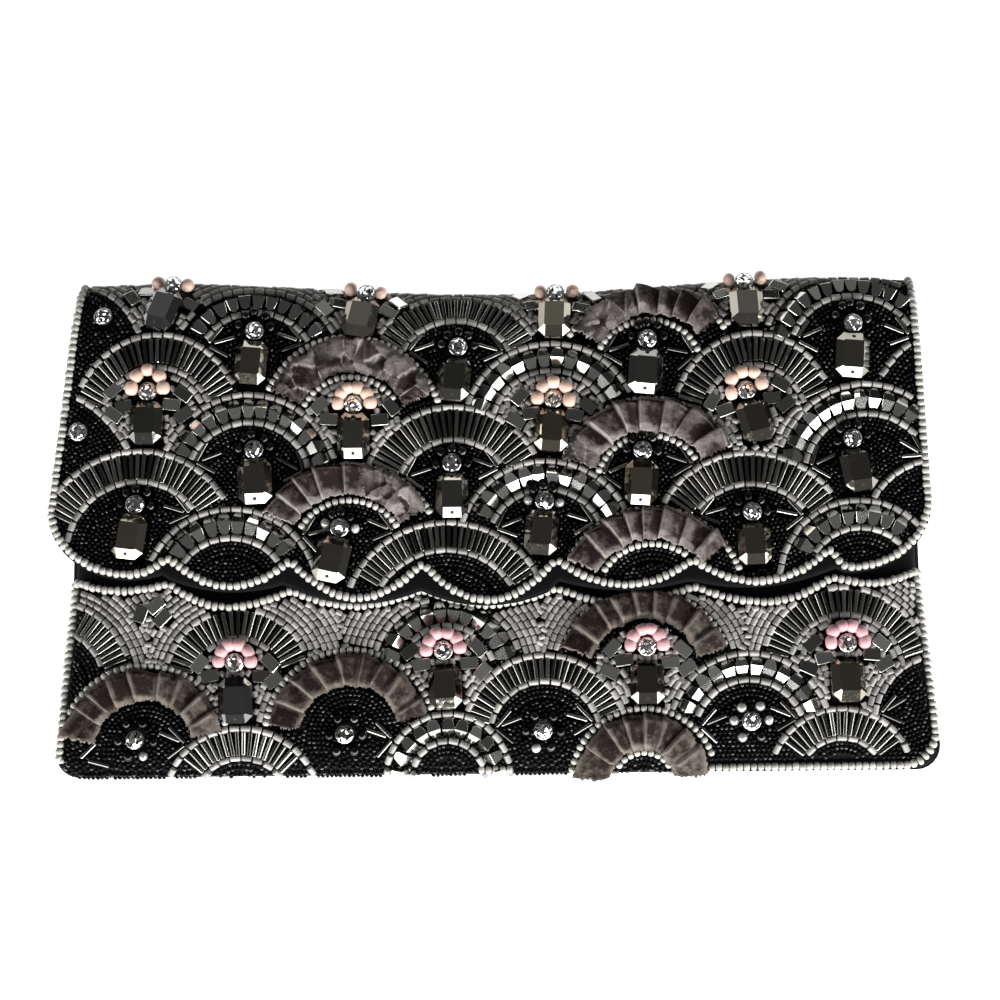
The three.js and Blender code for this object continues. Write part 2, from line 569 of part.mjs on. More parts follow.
// Pink beads on a thread over a stone's crystal, each resting on the cloth under it.
const PETAL_LAST_Q = FOLD_TIP_Q - 1.5; // the thread of the top row stops short of the fold's tip
function addPetals() {
  STONES.filter((entry) => entry.petals).forEach((entry) => {
    const surface = surfaceOf(entry.row);
    const { x, y } = latticePlace(entry);
    const lean = THREE.MathUtils.degToRad(entry.lean);
    const step = ROWS[entry.row].crystal;
    const [cx, cy] = [x - step * Math.sin(lean), y + step * Math.cos(lean)];
    const count = Math.max(entry.petals, PETAL_BENDS);
    const places = [];
    for (let k = 0; k < count; k++) {
      const fromTop = THREE.MathUtils.degToRad(PETAL_SPREAD * (k / (count - 1) - 0.5)) + lean;
      const [across, along] = [cx - PETAL_RING * Math.sin(fromTop), cy + PETAL_RING * Math.cos(fromTop)];
      places.push(surface(across, Math.min(along, PETAL_LAST_Q), TRIM_BASE + PETAL_RADIUS));
    }
    const strung = entry.petals === count ? places : [places[0], places.at(-1)];
    const bead = new THREE.SphereGeometry(PETAL_RADIUS, 7, 3);
    const beads = strung.map((at) => bead.clone().translate(at.x, at.y, at.z));
    const threads = places.slice(1).map((at, k) => threadBetween(places[k], at));
    addPiece(`petals_${entry.row}${entry.col}`, join([...beads, ...threads]), FINISH.pink);
  });
}

// A pleated ribbon: each pleat rises to a crease and drops under the next one.
function addRuffles() {
  RUFFLES.forEach((entry) => {
    const surface = surfaceOf(entry.row);
    const { x, y } = latticePlace(entry);
    const cols = 2 * entry.pleats;
    const bends = entry.bends ?? 1; // more where the ribbon goes over the fold
    const place = (col, row, side) => {
      const turn = THREE.MathUtils.degToRad(lerp(entry.from, entry.to, col / cols));
      const reach = lerp(entry.inner, entry.outer, row / bends);
      const top = col % 2 ? RUFFLE_HIGH : RUFFLE_LOW;
      const across = x + reach * Math.sin(turn);
      const along = Math.max(y + reach * Math.cos(turn), RUFFLE_LOWEST_Y);
      return surface(across, along, RUFFLE_BASE + (side ? top : 0));
    };
    addPiece(`ruffle_${entry.row}${entry.col}`, bentBox(cols, bends, place), FINISH.velvet);
  });
}

// The hidden magnet snap, one plain disc between flap and pouch.
function addSnap() {
  const low = frontHeight(0, SNAP_Y) + GAP;
  const high = FLAP_TOP_Z - FLAP_CLOTH - GAP;
  const disc = new THREE.CylinderGeometry(SNAP_RADIUS, SNAP_RADIUS, high - low, 16).rotateX(Math.PI / 2);
  addPiece("magnet_snap", disc.translate(0, SNAP_Y, (low + high) / 2), FINISH.snap);
}

addBackPanel();
addFrontPanel();
addFlap();
addFlapBeading();
addFrontBeading();
addFlapString();
addPouchString();
addStones();
addPetals();
addRuffles();
addSnap();

export default clutch;
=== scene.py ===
"""Looks of a beaded envelope clutch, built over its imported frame.

Satin pouch and flap, strings of ivory seed beads, scallop fans of bugles, cut beads and pleated velvet,
sewn stones with round crystals and pink bead petals. Lengths inside the builders are millimetres.
"""

import math
from collections import namedtuple
from functools import lru_cache

import bmesh
import bpy
import numpy as np
from bpy.props import FloatProperty, FloatVectorProperty, PointerProperty
from mathutils import Matrix, Vector
from mathutils.kdtree import KDTree


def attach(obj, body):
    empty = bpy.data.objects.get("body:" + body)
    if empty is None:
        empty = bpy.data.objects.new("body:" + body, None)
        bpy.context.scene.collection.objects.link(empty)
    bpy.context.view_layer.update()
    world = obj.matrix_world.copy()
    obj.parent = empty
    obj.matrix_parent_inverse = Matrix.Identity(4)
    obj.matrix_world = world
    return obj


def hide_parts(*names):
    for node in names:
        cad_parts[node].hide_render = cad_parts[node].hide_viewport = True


bl_info = {
    "name": "Beaded Clutch",
    "version": (1, 0, 0),
    "blender": (4, 2, 0),
    "location": "View3D > Sidebar > Clutch",
    "description": "Builds the satin, beads, stones and velvet of a beaded envelope clutch",
    "category": "Add Mesh",
}

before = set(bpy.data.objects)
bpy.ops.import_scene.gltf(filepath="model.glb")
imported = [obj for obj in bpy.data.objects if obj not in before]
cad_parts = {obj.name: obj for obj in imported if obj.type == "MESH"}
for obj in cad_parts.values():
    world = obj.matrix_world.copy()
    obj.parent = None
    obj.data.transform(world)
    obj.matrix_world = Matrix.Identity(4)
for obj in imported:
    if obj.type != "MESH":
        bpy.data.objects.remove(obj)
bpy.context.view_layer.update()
MM = 0.001

# Pouch and flap surfaces, as in the CAD source.
BODY_X = 1.2
BACK_HALF_WIDTH = 132.4
BACK_BOTTOM_Y = -77.1
BACK_CORNER = 7
FLARE, FLARE_FROM_Y = 0.09, -22
SEAM_Y = 52
GAP = 0.3
CLOTH = 2
FRONT_HALF_WIDTH = 131.6
FRONT_BOTTOM_Y = -77.2
FRONT_MOUTH_Y = 56
FRONT_CORNER = 8
FRONT_SLOPE = 45
FRONT_RISE = 11.7
SEAM_Z = CLOTH + GAP
FLAP_TOP_Z = 19
FLAP_HALF = (137.4, 132.6)
FLAP_X = (-0.7, 2.1)
FLAP_TAPER_LENGTH = 70
FOLD_TIP_Y = 70.9
FOLD_TIP_Z = 9
FOLD_LENGTH = 26
FOLD_UNDER = 10
FOLD_START_Y = FOLD_TIP_Y - FOLD_LENGTH
TIP_SWEEP = 4.7
SWEEP_ACROSS = (0.05, 0.8)
SWEEP_FROM_Y = 30
DROOP = 0.24
STRING_INSET = 1.4
STRING_HEIGHT = 1.5
# Cloth of the front and flap, thinner than the CAD solids, the front's extra width and steps round the fold.
FRONT_CLOTH, FLAP_CLOTH, FRONT_EASE, FOLD_STEPS = 1.6, 1.53, 12, 48
# Room between the field of beads and the flap's sides, corners and scalloped edge, then the pouch's edges.
FLAP_SIDE_ROOM, FLAP_CORNER_ROOM, EDGE_ROOM = 3.3, 3.4, 2.2
POUCH_SIDE_ROOM, POUCH_BOTTOM_ROOM = 3.2, 3.4
# The same where the pouch has no string. On its left side the string ends at LEFT_STRING_Y.
BARE_SIDE_ROOM, BARE_BOTTOM_ROOM = 0.8, 0.1
LEFT_STRING_Y, BARE_SIDE_Y = -72.5, -71
# Cloth that passes the pouch's edge hangs on from this far inside it.
HANG_FROM = 1.6

# Flap edge: x, y and the low point after each cusp, then the rounded corners.
EDGE_CUSPS = np.array([
    (-99.5, -11.5),
    (-62, -13),
    (-21.5, -14.3),
    (19.6, -13.7),
    (61.7, -14),
    (104.4, -10.7),
])
EDGE_LOWS = np.array([-21, -25, -26, -21.7, -21])
CORNER_LOW_X, CORNER_LOW_Y, CORNER_SIDE_Y = 110, -16.8, 5
CLOTH_FOLLOW, CLOTH_MARGIN = 0.4, 1.6
POUCH_CUSP_Y, POUCH_END_CUSP_Y, POUCH_LOW_Y = -21.8, -19.3, -26.8
POUCH_END_DIP, POUCH_END_RISE = 2.2, 3

# Scallop lattice: height and sideways shift of each row, from the fold down.
COLUMN_X, COLUMN_PITCH = -104.5, 31.3
ROWS = {
    "a": (62, 0.5),
    "b": (45, -1),
    "c": (27, -1),
    "d": (9.5, -2),
    "e": (-9.5, -5),
    "f": (-26.5, -3),
    "g": (-51, -5.5),
    "h": (-67, -4.5),
    "i": (-82.5, -6),
}
FLAP_ROWS = "abcdef"
GREY_ROWS = "acg"

Scallop = namedtuple("Scallop", "row col x y outer inner band")
Motif = namedtuple("Motif", "row col x y lean petals")
Ruffle = namedtuple("Ruffle", "row col dx dy inner outer start end pleats")

# Row, column, nudge, outer and inner bead line, band between them.
SCALLOPS = (
    *(("a", col, 0, 0, 40, 38, "none") for col in range(0, 9, 2)),
    ("b", -1, 0, 0, 29, 29, "line"),
    ("b", 1, 1.5, -2, 27.8, 19.5, "cut"),
    ("b", 3, 1, -1.5, 27.5, 18.6, "bugle"),
    ("b", 5, -2, -2, 27.7, 17.3, "velvet"),
    ("b", 7, 0.5, -1, 30, 21.5, "cut"),
    ("c", 0, 1.5, 1, 27.6, 18.6, "bugle"),
    ("c", 2, -0.5, 0.5, 28.4, 16.3, "velvet"),
    ("c", 4, -1, 0, 27, 18.4, "cut"),
    ("c", 6, -0.5, 2, 25.5, 16.6, "bugle"),
    ("c", 8, 0, 1, 27, 27, "line"),
    ("d", -1, -8, -3.5, 37, 37, "line"),
    ("d", 1, 0, 1.5, 27.6, 19.2, "cut"),
    ("d", 3, 1, -3.5, 28.3, 18, "bugle"),
    ("d", 5, -1, -1.5, 28.2, 16.8, "velvet"),
    ("d", 7, 4.5, 1.5, 29.2, 20.4, "cut"),
    ("e", 0, 0, 0, 31.2, 21.7, "bugle"),
    ("e", 2, 3, -2.5, 28.2, 17.3, "velvet"),
    ("e", 4, 1, -0.5, 27, 18.2, "cut"),
    ("e", 6, 1.5, -2.5, 31, 21.3, "bugle"),
    ("e", 8, 0, 0, 27, 27, "line"),
    ("f", 1, -4, 2.5, 27, 18, "cut"),
    ("f", 3, -0.5, -7.5, 32, 23.6, "bugle"),
    ("f", 5, 0, 0, 28.2, 17.3, "velvet"),
    ("f", 7, 2, 5, 25.5, 17, "cut"),
    ("g", -1, 2.5, -0.5, 28.5, 20, "bugle"),
    ("g", 1, 0.5, 1, 22.6, 13.6, "bugle"),
    ("g", 3, 2, 3.5, 22.9, 14.2, "cut"),
    ("g", 5, 0, 1.5, 26.5, 16.3, "velvet"),
    ("g", 7, -1, 2.5, 26, 17.6, "bugle"),
    ("h", 0, 2, -3.5, 26.2, 14.4, "velvet"),
    ("h", 2, 2.5, 0.5, 26.2, 14.4, "velvet"),
    ("h", 4, -0.5, -0.5, 25, 17.2, "bugle"),
    ("h", 6, -0.5, -0.5, 25, 17, "cut"),
    ("h", 8, -3, 2, 22, 22, "line"),
    ("i", 1, 1.5, -6, 25, 16.4, "bugle"),
    ("i", 3, 2.5, 3.5, 19.2, 11.2, "cut"),
    ("i", 5, 0, 1, 22.7, 9.9, "velvet"),
    ("i", 7, -2, 0.5, 22.6, 14, "bugle"),
)
# Sewn stones: row, column, nudge, lean in degrees, number of pink petals round the crystal.
STONES = (
    ("a", 0, 1.5, 0, -17, 2),
    ("a", 2, 1, -1, -8, 2),
    ("a", 4, -1, -0.5, -4, 2),
    ("a", 6, -3.5, -0.5, -2, 2),
    ("b", 1, 0, 2, -4, 0),
    ("b", 3, 0.5, -2.5, -6, 0),
    ("b", 5, -3, -1, -6, 0),
    ("b", 7, -1, 2.5, -4, 0),
    ("c", 0, -1, 3, -1, 5),
    ("c", 2, 0.5, -2, 0, 6),
    ("c", 4, -1, -1, -4, 5),
    ("c", 6, -0.5, 1.5, 15, 5),
    ("d", 1, 2.5, 1.5, 2, 0),
    ("d", 3, 0.5, -3.5, 0, 0),
    ("d", 5, -4, 0, -4, 0),
    ("d", 7, 0.5, 3.5, 8, 0),
    ("e", 0, -1.5, 4, -8, 0),
    ("e", 2, -2, -4, -13, 0),
    ("e", 4, -0.5, 3.5, -6, 0),
    ("e", 6, 2, -0.5, 2, 0),
    ("g", 1, 0, -4, 1, 6),
    ("g", 3, 1.5, -1, 3, 6),
    ("g", 5, 0.5, -0.5, 0, 6),
    ("g", 7, -1, 0, 0, 6),
)
LONE_CRYSTALS = {
    "crystal_left_upper": ("a", -0.5, -1.5, -1.5),
    "crystal_left_lower": ("c", -0.7, -0.5, 1),
    "crystal_h0": ("h", 0, -0.5, 0.5),
    "crystal_h2": ("h", 2, 1, 1.5),
    "crystal_h4": ("h", 4, -1, 2),
    "crystal_h6": ("h", 6, 0, 4),
}
# Flat beads beside each crystal of a grey scallop: across, along and turn, and three by themselves.
FLATS = (
    (-10.6, -0.4, 45),
    (-7.2, -4.6, 8),
    (-11.2, -7.6, -35),
    (10.8, -0.6, -42),
    (7.4, -4.4, -6),
    (11.6, -6.4, 34),
)
LONE_FLATS = ((-108, -28.5, 70), (-103.5, -26, 40), (-101.5, -30, 45))
# Bugles by themselves at the pouch's left end: across, along and turn.
LONE_RAYS = ((-124.5, -69.5, 42), (-121.5, -73.2, -16))
# Velvet ribbons: row, column, nudge, inner and outer edge, arc in degrees from straight up, pleats.
RUFFLES = tuple(Ruffle(*entry) for entry in (
    ("b", 5, -1, -2, 18.5, 28, -60, 54, 8),
    ("c", 2, 0, 0.5, 17.5, 27.6, -66, 68, 8),
    ("d", 5, -1, -1.5, 18, 28.6, -72, 64, 8),
    ("e", 2, 2.5, -2, 18.5, 28.6, -64, 62, 8),
    ("f", 5, 0, 0, 18.5, 28.6, -66, 56, 8),
    ("g", 5, 0, 1.5, 17.4, 26.8, -72, 72, 9),
    ("h", 0, 2, -3.5, 15.5, 25, -80, 76, 9),
    ("h", 2, 2.5, 0.5, 15.5, 25, -82, 76, 9),
    ("i", 5, -0.5, 1, 11, 21.5, -82, 84, 8),
))
STONE_WIDTH, STONE_LENGTH, STONE_HEIGHT = 10.5, 14.2, 4.2
STONE_GIRDLE, STONE_TABLE = 2.0, (6.4, 8.7)
# Radius and lift of the disc that paints the shade inside each sewing hole.
HOLE_RADIUS, HOLE_LIFT = 0.65, 0.04
# From a stone's centre to the crystal above it, by row.
CRYSTAL_STEP = {"a": 9.4, "b": 10.5, "c": 10.2, "d": 10.2, "e": 10.2, "g": 11.5}
CRYSTAL_ROOM = 5.6
# Radius and height of a crystal's cup; radius, turn in facets and height of the brilliant in it.
CUP_SECTION = ((2.2, 0), (2.95, 1), (2.95, 1.45), (2.72, 1.62))
BRILLIANT_SECTION = ((2.7, 0, 1.55), (2.15, 0.5, 2.15), (1.35, 0, 2.55))
# Turn of the crystals that have no stone, and roll of those in row h.
LONE_TURN, LONE_ROLL = 0.3, -0.35
# Height over the cloth of stones and crystals, of petals above those, and under tubes and seeds.
TRIM_BASE, PETAL_RISE, BEAD_BASE = 2.3, 1.6, 0.25
# Petals stand on a half ring with this many places or more; two petals take its ends.
PETAL_RING, PETAL_PLACES = 5.0, 5
PETAL_LENGTH, PETAL_WIDTH, PETAL_ROOM = 4.15, 4.0, (4, 3.8)
# Bugles and cut beads are made at these lengths and scaled to their places. A ray is a longer, thin bugle.
BUGLE_LENGTH, BUGLE_HEIGHT = 6.5, 1.05
RAY_LENGTH, RAY_HEIGHT = 6.6, 1.3
RAY_SIZE = (RAY_LENGTH / BUGLE_LENGTH, 0.85, 0.85)
# Start of the upper, middle and lower ray of a corner, and how far those of row h may turn from level.
RAY_STARTS, RAY_TURNS = (0.4, 1.9, 0.4), (-0.8, 0.85)
CUT_LENGTH, CUT_WIDTH, CUT_HEIGHT = 6.4, 4.1, 2.8
CUT_PITCH, CUT_BASE = 4.25, 0.3
# Width and height of a cut bead's ends, as shares of its ridge's.
CUT_OUTER, CUT_INNER = (0.62, 0.28), (0.58, 0.1)
FLAT_LENGTH, FLAT_WIDTH, FLAT_HEIGHT, FLAT_BASE = 5.6, 3.8, 2.1, 0.3
ROUND_WIDTH, SILVER_WIDTH, ROUND_HEIGHT, ROUND_ROOM = 3.3, 3, 1.9, 3
# Ivory beads beside the velvet.
LINE_PITCH, LINE_LENGTH, LINE_WIDTH = 2.15, 2.1, 2.25
# Grey tubes: gaps in a line and in an arc, distance and number of arcs, and those above the pouch's fans.
GREY_LINE_GAP, GREY_GAP = 0.44, 0.2
GREY_ARC_PITCH, GREY_ARCS, LEAST_ARC = 2.02, 8, 3
POUCH_SHORT, POUCH_THIN, POUCH_ARCS = 0.8, 0.88, 21
# Arcs of black seeds inside each fan, and the left end of the rows along the lower edge.
SEED_ARCS, RIM_START_X = 3, -128
# Half of the arc that a scallop's beads may fill, in degrees.
RING_HALF_TURN = 115.0
# Round beads about a crystal, in degrees from straight up, their ring, and which of them are silver.
STONE_ROUNDS, STONE_ROUND_RING = (-88, -44, -6, 36, 84), 4.8
LONE_ROUNDS, LONE_ROUND_RING = (-150, -88, -30, 30, 92, 152), 5.2
SILVER = {"e2": (0, 4), "e4": (0, 4), "h0": (5,), "h4": (0,), "h6": (0, 1, 2, 3, 4)}
# Stretches of the pouch's lower edge that have an ivory string.
WHITE_BOTTOM = ((66, 125), (-5, 5))
# Stones whose lower end stands up a little, in radians, so that its bevel stays dull.
LIFTED = {
    **dict.fromkeys(("b3", "c0", "c4", "c6", "d7", "e4", "e6"), 0.15),
    **dict.fromkeys(("g3", "g5", "g7"), 0.32),
}
# Height over the cloth that the pleats of a ribbon rise from.
VELVET_BASE = 2.5
# Part of a flap ribbon's run where it is crumpled out of its pleats.
CRUMPLED = {"b5": (-0.1, 0.42), "c2": (-0.1, 1.1), "e2": (0.58, 1.1), "d5": (-0.1, 0.14)}
# Lean of the cut beads of a fan, in radians: less than nothing turns their inner facets from the light.
CUT_LEAN = {
    "b1": -0.2,
    "b7": -0.16,
    "c4": 0.06,
    "d1": -0.04,
    "f1": -0.12,
    "f7": -0.2,
    "g3": -0.06,
    "i3": 0.1,
}
# Seeds of the random draws. Each ribbon adds its number to the velvet's.
LAYOUT_SEEDS = {"flap": 11, "pouch": 23}
STRING_SEEDS = {"flap": 3, "pouch": 5}
STONE_SEED, PETAL_SEED, PAVING_SEED, VELVET_SEED = 7, 3, 19, 100
# Edges that rise less than this count as level.
LEVEL = 1e-6


# Surfaces


def arrays(*values):
    return np.broadcast_arrays(*(np.asarray(v, float) for v in values))


def smoothstep(value, low, high):
    t = np.clip((value - low) / (high - low), 0, 1)
    return t * t * (3 - 2 * t)


def fold_section():
    """Place, outward normal and length along the cloth of the flap's section, from the top to the seam."""
    over = np.linspace(0, math.pi / 2, FOLD_STEPS + 1)
    under = np.linspace(math.pi / 2, math.pi, FOLD_STEPS // 2 + 1)[1:]
    turn = np.concatenate([over, under])
    reach = np.where(turn <= math.pi / 2, FOLD_LENGTH, FOLD_UNDER)
    rise = np.where(turn <= math.pi / 2, FLAP_TOP_Z - FOLD_TIP_Z, FOLD_TIP_Z)
    y = np.append(FOLD_TIP_Y - reach + reach * np.sin(turn), SEAM_Y + GAP)
    z = np.append(FOLD_TIP_Z + rise * np.cos(turn), 0)
    ny, nz = np.append(np.sin(turn) / reach, 0), np.append(np.cos(turn) / rise, -1)
    size = np.hypot(ny, nz)
    q = FOLD_START_Y + np.concatenate([[0], np.cumsum(np.hypot(np.diff(y), np.diff(z)))])
    return q, y, z, ny / size, nz / size


FOLD = fold_section()
FOLD_TIP_Q = float(FOLD[0][FOLD_STEPS])
SEAM_Q = float(FOLD[0][-1])
PETAL_LAST_Q = FOLD_TIP_Q - 3.8
BEADS_END_Q = FOLD_TIP_Q + 3.5
# Lowest and highest place of each surface's beads.
FIELD_BOXES = {"flap": ((-136, -29), (138, BEADS_END_Q)), "pouch": ((-138, -78), (140, -14))}


def fold_at(q):
    y, z, ny, nz = (np.interp(q, FOLD[0], values) for values in FOLD[1:])
    return np.where(q < FOLD_START_Y, q, y), z, ny, nz


def flap_share(q):
    return np.clip(q / FLAP_TAPER_LENGTH, 0, 1.1)


def flap_centre(q):
    return FLAP_X[0] + (FLAP_X[1] - FLAP_X[0]) * flap_share(q)


def flap_half(q):
    return FLAP_HALF[0] + (FLAP_HALF[1] - FLAP_HALF[0]) * flap_share(q)


def flap_point(x, q, height):
    x, q, height = arrays(x, q, height)
    y, z, ny, nz = fold_at(q)
    u = np.clip((x - flap_centre(q)) / flap_half(q), -1, 1)
    y = y + TIP_SWEEP * smoothstep(np.abs(u), *SWEEP_ACROSS) * smoothstep(y, SWEEP_FROM_Y, FOLD_TIP_Y)
    return np.stack([x, y + height * ny, z * (1 - DROOP * u**4) + height * nz], -1)


def corner_back(rise, radius):
    left = radius - np.clip(rise, 0, radius)
    return radius - np.sqrt(radius**2 - left**2)


def flare(y):
    return FLARE * np.maximum(0, FLARE_FROM_Y - y)


def front_half(y):
    return FRONT_HALF_WIDTH + flare(y) - corner_back(y - FRONT_BOTTOM_Y, FRONT_CORNER)


def front_height(x, y):
    u = np.clip(np.abs(x - BODY_X) / front_half(y), 0, 1)
    v = np.clip((y - FRONT_BOTTOM_Y) / FRONT_SLOPE, 0, 1)
    return SEAM_Z + FRONT_RISE * np.sqrt(1 - u**8) * np.sqrt(1 - (1 - v) ** 2)


def front_point(x, y, height):
    x, y, height = arrays(x, y, height)
    step = 0.25
    dx = (front_height(x + step, y) - front_height(x - step, y)) / (2 * step)
    dy = (front_height(x, y + step) - front_height(x, y - step)) / (2 * step)
    normal = unit(np.stack([-dx, -dy, np.ones_like(dx)], -1))
    return np.stack([x, y, front_height(x, y)], -1) + normal * height[..., None]


SURFACES = {"flap": flap_point, "pouch": front_point}


def ribbon_point(surface, x, q, height):
    """Like the surface's own point, but cloth that passes the pouch's edge hangs on over it."""
    if surface == "flap":
        return flap_point(x, q, height)
    q_in = np.maximum(q, FRONT_BOTTOM_Y + HANG_FROM)
    reach = front_half(q_in) - HANG_FROM
    x_in = np.clip(x, BODY_X - reach, BODY_X + reach)
    made = front_point(x_in, q_in, height)
    over = np.hypot(x - x_in, q - q_in)
    return made + np.stack([x - x_in, q - q_in, -0.5 * over], -1)


def surface_of(row):
    return "flap" if row in FLAP_ROWS else "pouch"


def unit(vectors):
    return vectors / np.linalg.norm(vectors, axis=-1, keepdims=True)


def axes_on(surface, x, q, height):
    """Directions across, along and out of the cloth at each place."""
    point, step = SURFACES[surface], 0.5
    across = unit(point(x + step, q, height) - point(x - step, q, height))
    along = point(x, q + step, height) - point(x, q - step, height)
    out = unit(np.cross(across, along))
    return across, np.cross(out, across), out


def scallop_at(x):
    k = np.clip(np.searchsorted(EDGE_CUSPS[:, 0], x, side="right") - 1, 0, len(EDGE_LOWS) - 1)
    a, b = EDGE_CUSPS[k], EDGE_CUSPS[k + 1]
    return a, b, EDGE_LOWS[k], (2 * x - a[:, 0] - b[:, 0]) / (b[:, 0] - a[:, 0])


def edge_y(x, follow, half, margin):
    """The flap's scalloped edge: follow 1 is the bead line, less is a flatter wave."""
    x = np.atleast_1d(np.asarray(x, float))
    a, b, low, w = scallop_at(x)
    cusp = a[:, 1] + (b[:, 1] - a[:, 1]) * (w + 1) / 2
    middle = cusp - ((a[:, 1] + b[:, 1]) / 2 - low) * (1 - follow * w * w) - margin
    end = np.where(x < 0, EDGE_CUSPS[0, 0], EDGE_CUSPS[-1, 0])
    end_y = np.where(x < 0, EDGE_CUSPS[0, 1], EDGE_CUSPS[-1, 1])
    across = np.abs(x - FLAP_X[0])
    out = np.clip((across - CORNER_LOW_X) / (half - CORNER_LOW_X), 0, 1)
    low_y = CORNER_LOW_Y - margin
    side = CORNER_SIDE_Y - (CORNER_SIDE_Y - low_y) * np.sqrt(1 - out * out)
    back = (CORNER_LOW_X - across) / (CORNER_LOW_X - np.abs(end - FLAP_X[0]))
    near = low_y + follow * (end_y - CORNER_LOW_Y) * back * back
    corner = np.where(out > 0, side, near)
    return np.where((x < EDGE_CUSPS[0, 0]) | (x > EDGE_CUSPS[-1, 0]), corner, middle)


def cloth_edge_y(x):
    return edge_y(x, CLOTH_FOLLOW, FLAP_HALF[0], CLOTH_MARGIN)


def bead_line_y(x):
    return edge_y(x, 1, FLAP_HALF[0] - STRING_INSET, 0)


def pouch_line_y(x):
    x = np.atleast_1d(np.asarray(x, float))
    a, b, _, w = scallop_at(x)
    outermost = EDGE_CUSPS[[0, -1], 0]
    left, right = (np.where(np.isin(c[:, 0], outermost), POUCH_END_CUSP_Y, POUCH_CUSP_Y) for c in (a, b))
    middle = POUCH_LOW_Y + (left + (right - left) * (w + 1) / 2 - POUCH_LOW_Y) * w * w
    end = np.where(x < 0, *outermost)
    out = np.abs(x - end) / (FRONT_HALF_WIDTH - np.abs(end))
    beyond = POUCH_END_CUSP_Y - POUCH_END_DIP * np.sin(math.pi * np.minimum(out, 1)) + POUCH_END_RISE * out**3
    return np.where((x < outermost[0]) | (x > outermost[1]), beyond, middle)


def on_flap_field(x, q):
    inside = np.abs(x - flap_centre(q)) < flap_half(q) - FLAP_SIDE_ROOM
    rounded = edge_y(x, 1, FLAP_HALF[0] - FLAP_CORNER_ROOM, -EDGE_ROOM)
    return inside & (q > rounded) & (q < BEADS_END_Q)


def on_pouch_field(x, y):
    bare_side = (x < 0) & (y < BARE_SIDE_Y)
    inside = np.abs(x - BODY_X) < front_half(y) - np.where(bare_side, BARE_SIDE_ROOM, POUCH_SIDE_ROOM)
    strung = x > WHITE_BOTTOM[0][0] - 1
    low = FRONT_BOTTOM_Y + np.where(strung, POUCH_BOTTOM_ROOM, BARE_BOTTOM_ROOM)
    return inside & (y < pouch_line_y(x) - EDGE_ROOM) & (y > low)


FIELDS = {"flap": on_flap_field, "pouch": on_pouch_field}


# Bead layout


def lattice(row, col, dx, dy):
    y, shift = ROWS[row]
    return COLUMN_X + COLUMN_PITCH * col + shift + dx, y + dy


def all_scallops():
    """Scallops from the lowest row up: a lower one lies over those above it."""
    made = []
    for row, col, dx, dy, outer, inner, band in SCALLOPS:
        made.append(Scallop(row, col, *lattice(row, col, dx, dy), outer, inner, band))
    return sorted(made, key=lambda s: s.row, reverse=True)


def motifs():
    return [Motif(r, c, *lattice(r, c, dx, dy), math.radians(lean), n) for r, c, dx, dy, lean, n in STONES]


def from_motif(motif, across, along):
    """A place beside a stone, turned with its lean."""
    c, s = math.cos(motif.lean), math.sin(motif.lean)
    return motif.x + across * c - along * s, motif.y + across * s + along * c


def around(x, y, radius, angle):
    """Places round a point, at angles from straight up, positive to the right."""
    return x + radius * np.sin(angle), y + radius * np.cos(angle)


def only(keep, *arrays):
    return [values[keep] for values in arrays]


def frames(surface, x, q, turn, height, tip=0.0, roll=0.0, size=1.0):
    """Places as origin and three scaled axes, X along turn in the cloth, Z out of it."""
    x, q, turn, height, tip, roll = arrays(np.atleast_1d(x), q, turn, height, tip, roll)
    across, along, out = axes_on(surface, x, q, height)
    c, s = np.cos(turn)[:, None], np.sin(turn)[:, None]
    ax, ay = across * c + along * s, along * c - across * s
    ct, st = np.cos(tip)[:, None], np.sin(tip)[:, None]
    ax, az = ax * ct + out * st, out * ct - ax * st
    cr, sr = np.cos(roll)[:, None], np.sin(roll)[:, None]
    ay, az = ay * cr + az * sr, az * cr - ay * sr
    size = np.broadcast_to(np.asarray(size, float), (len(x), 3))
    origin = SURFACES[surface](x, q, height)
    return np.stack([origin, ax * size[:, :1], ay * size[:, 1:2], az * size[:, 2:]], 1)


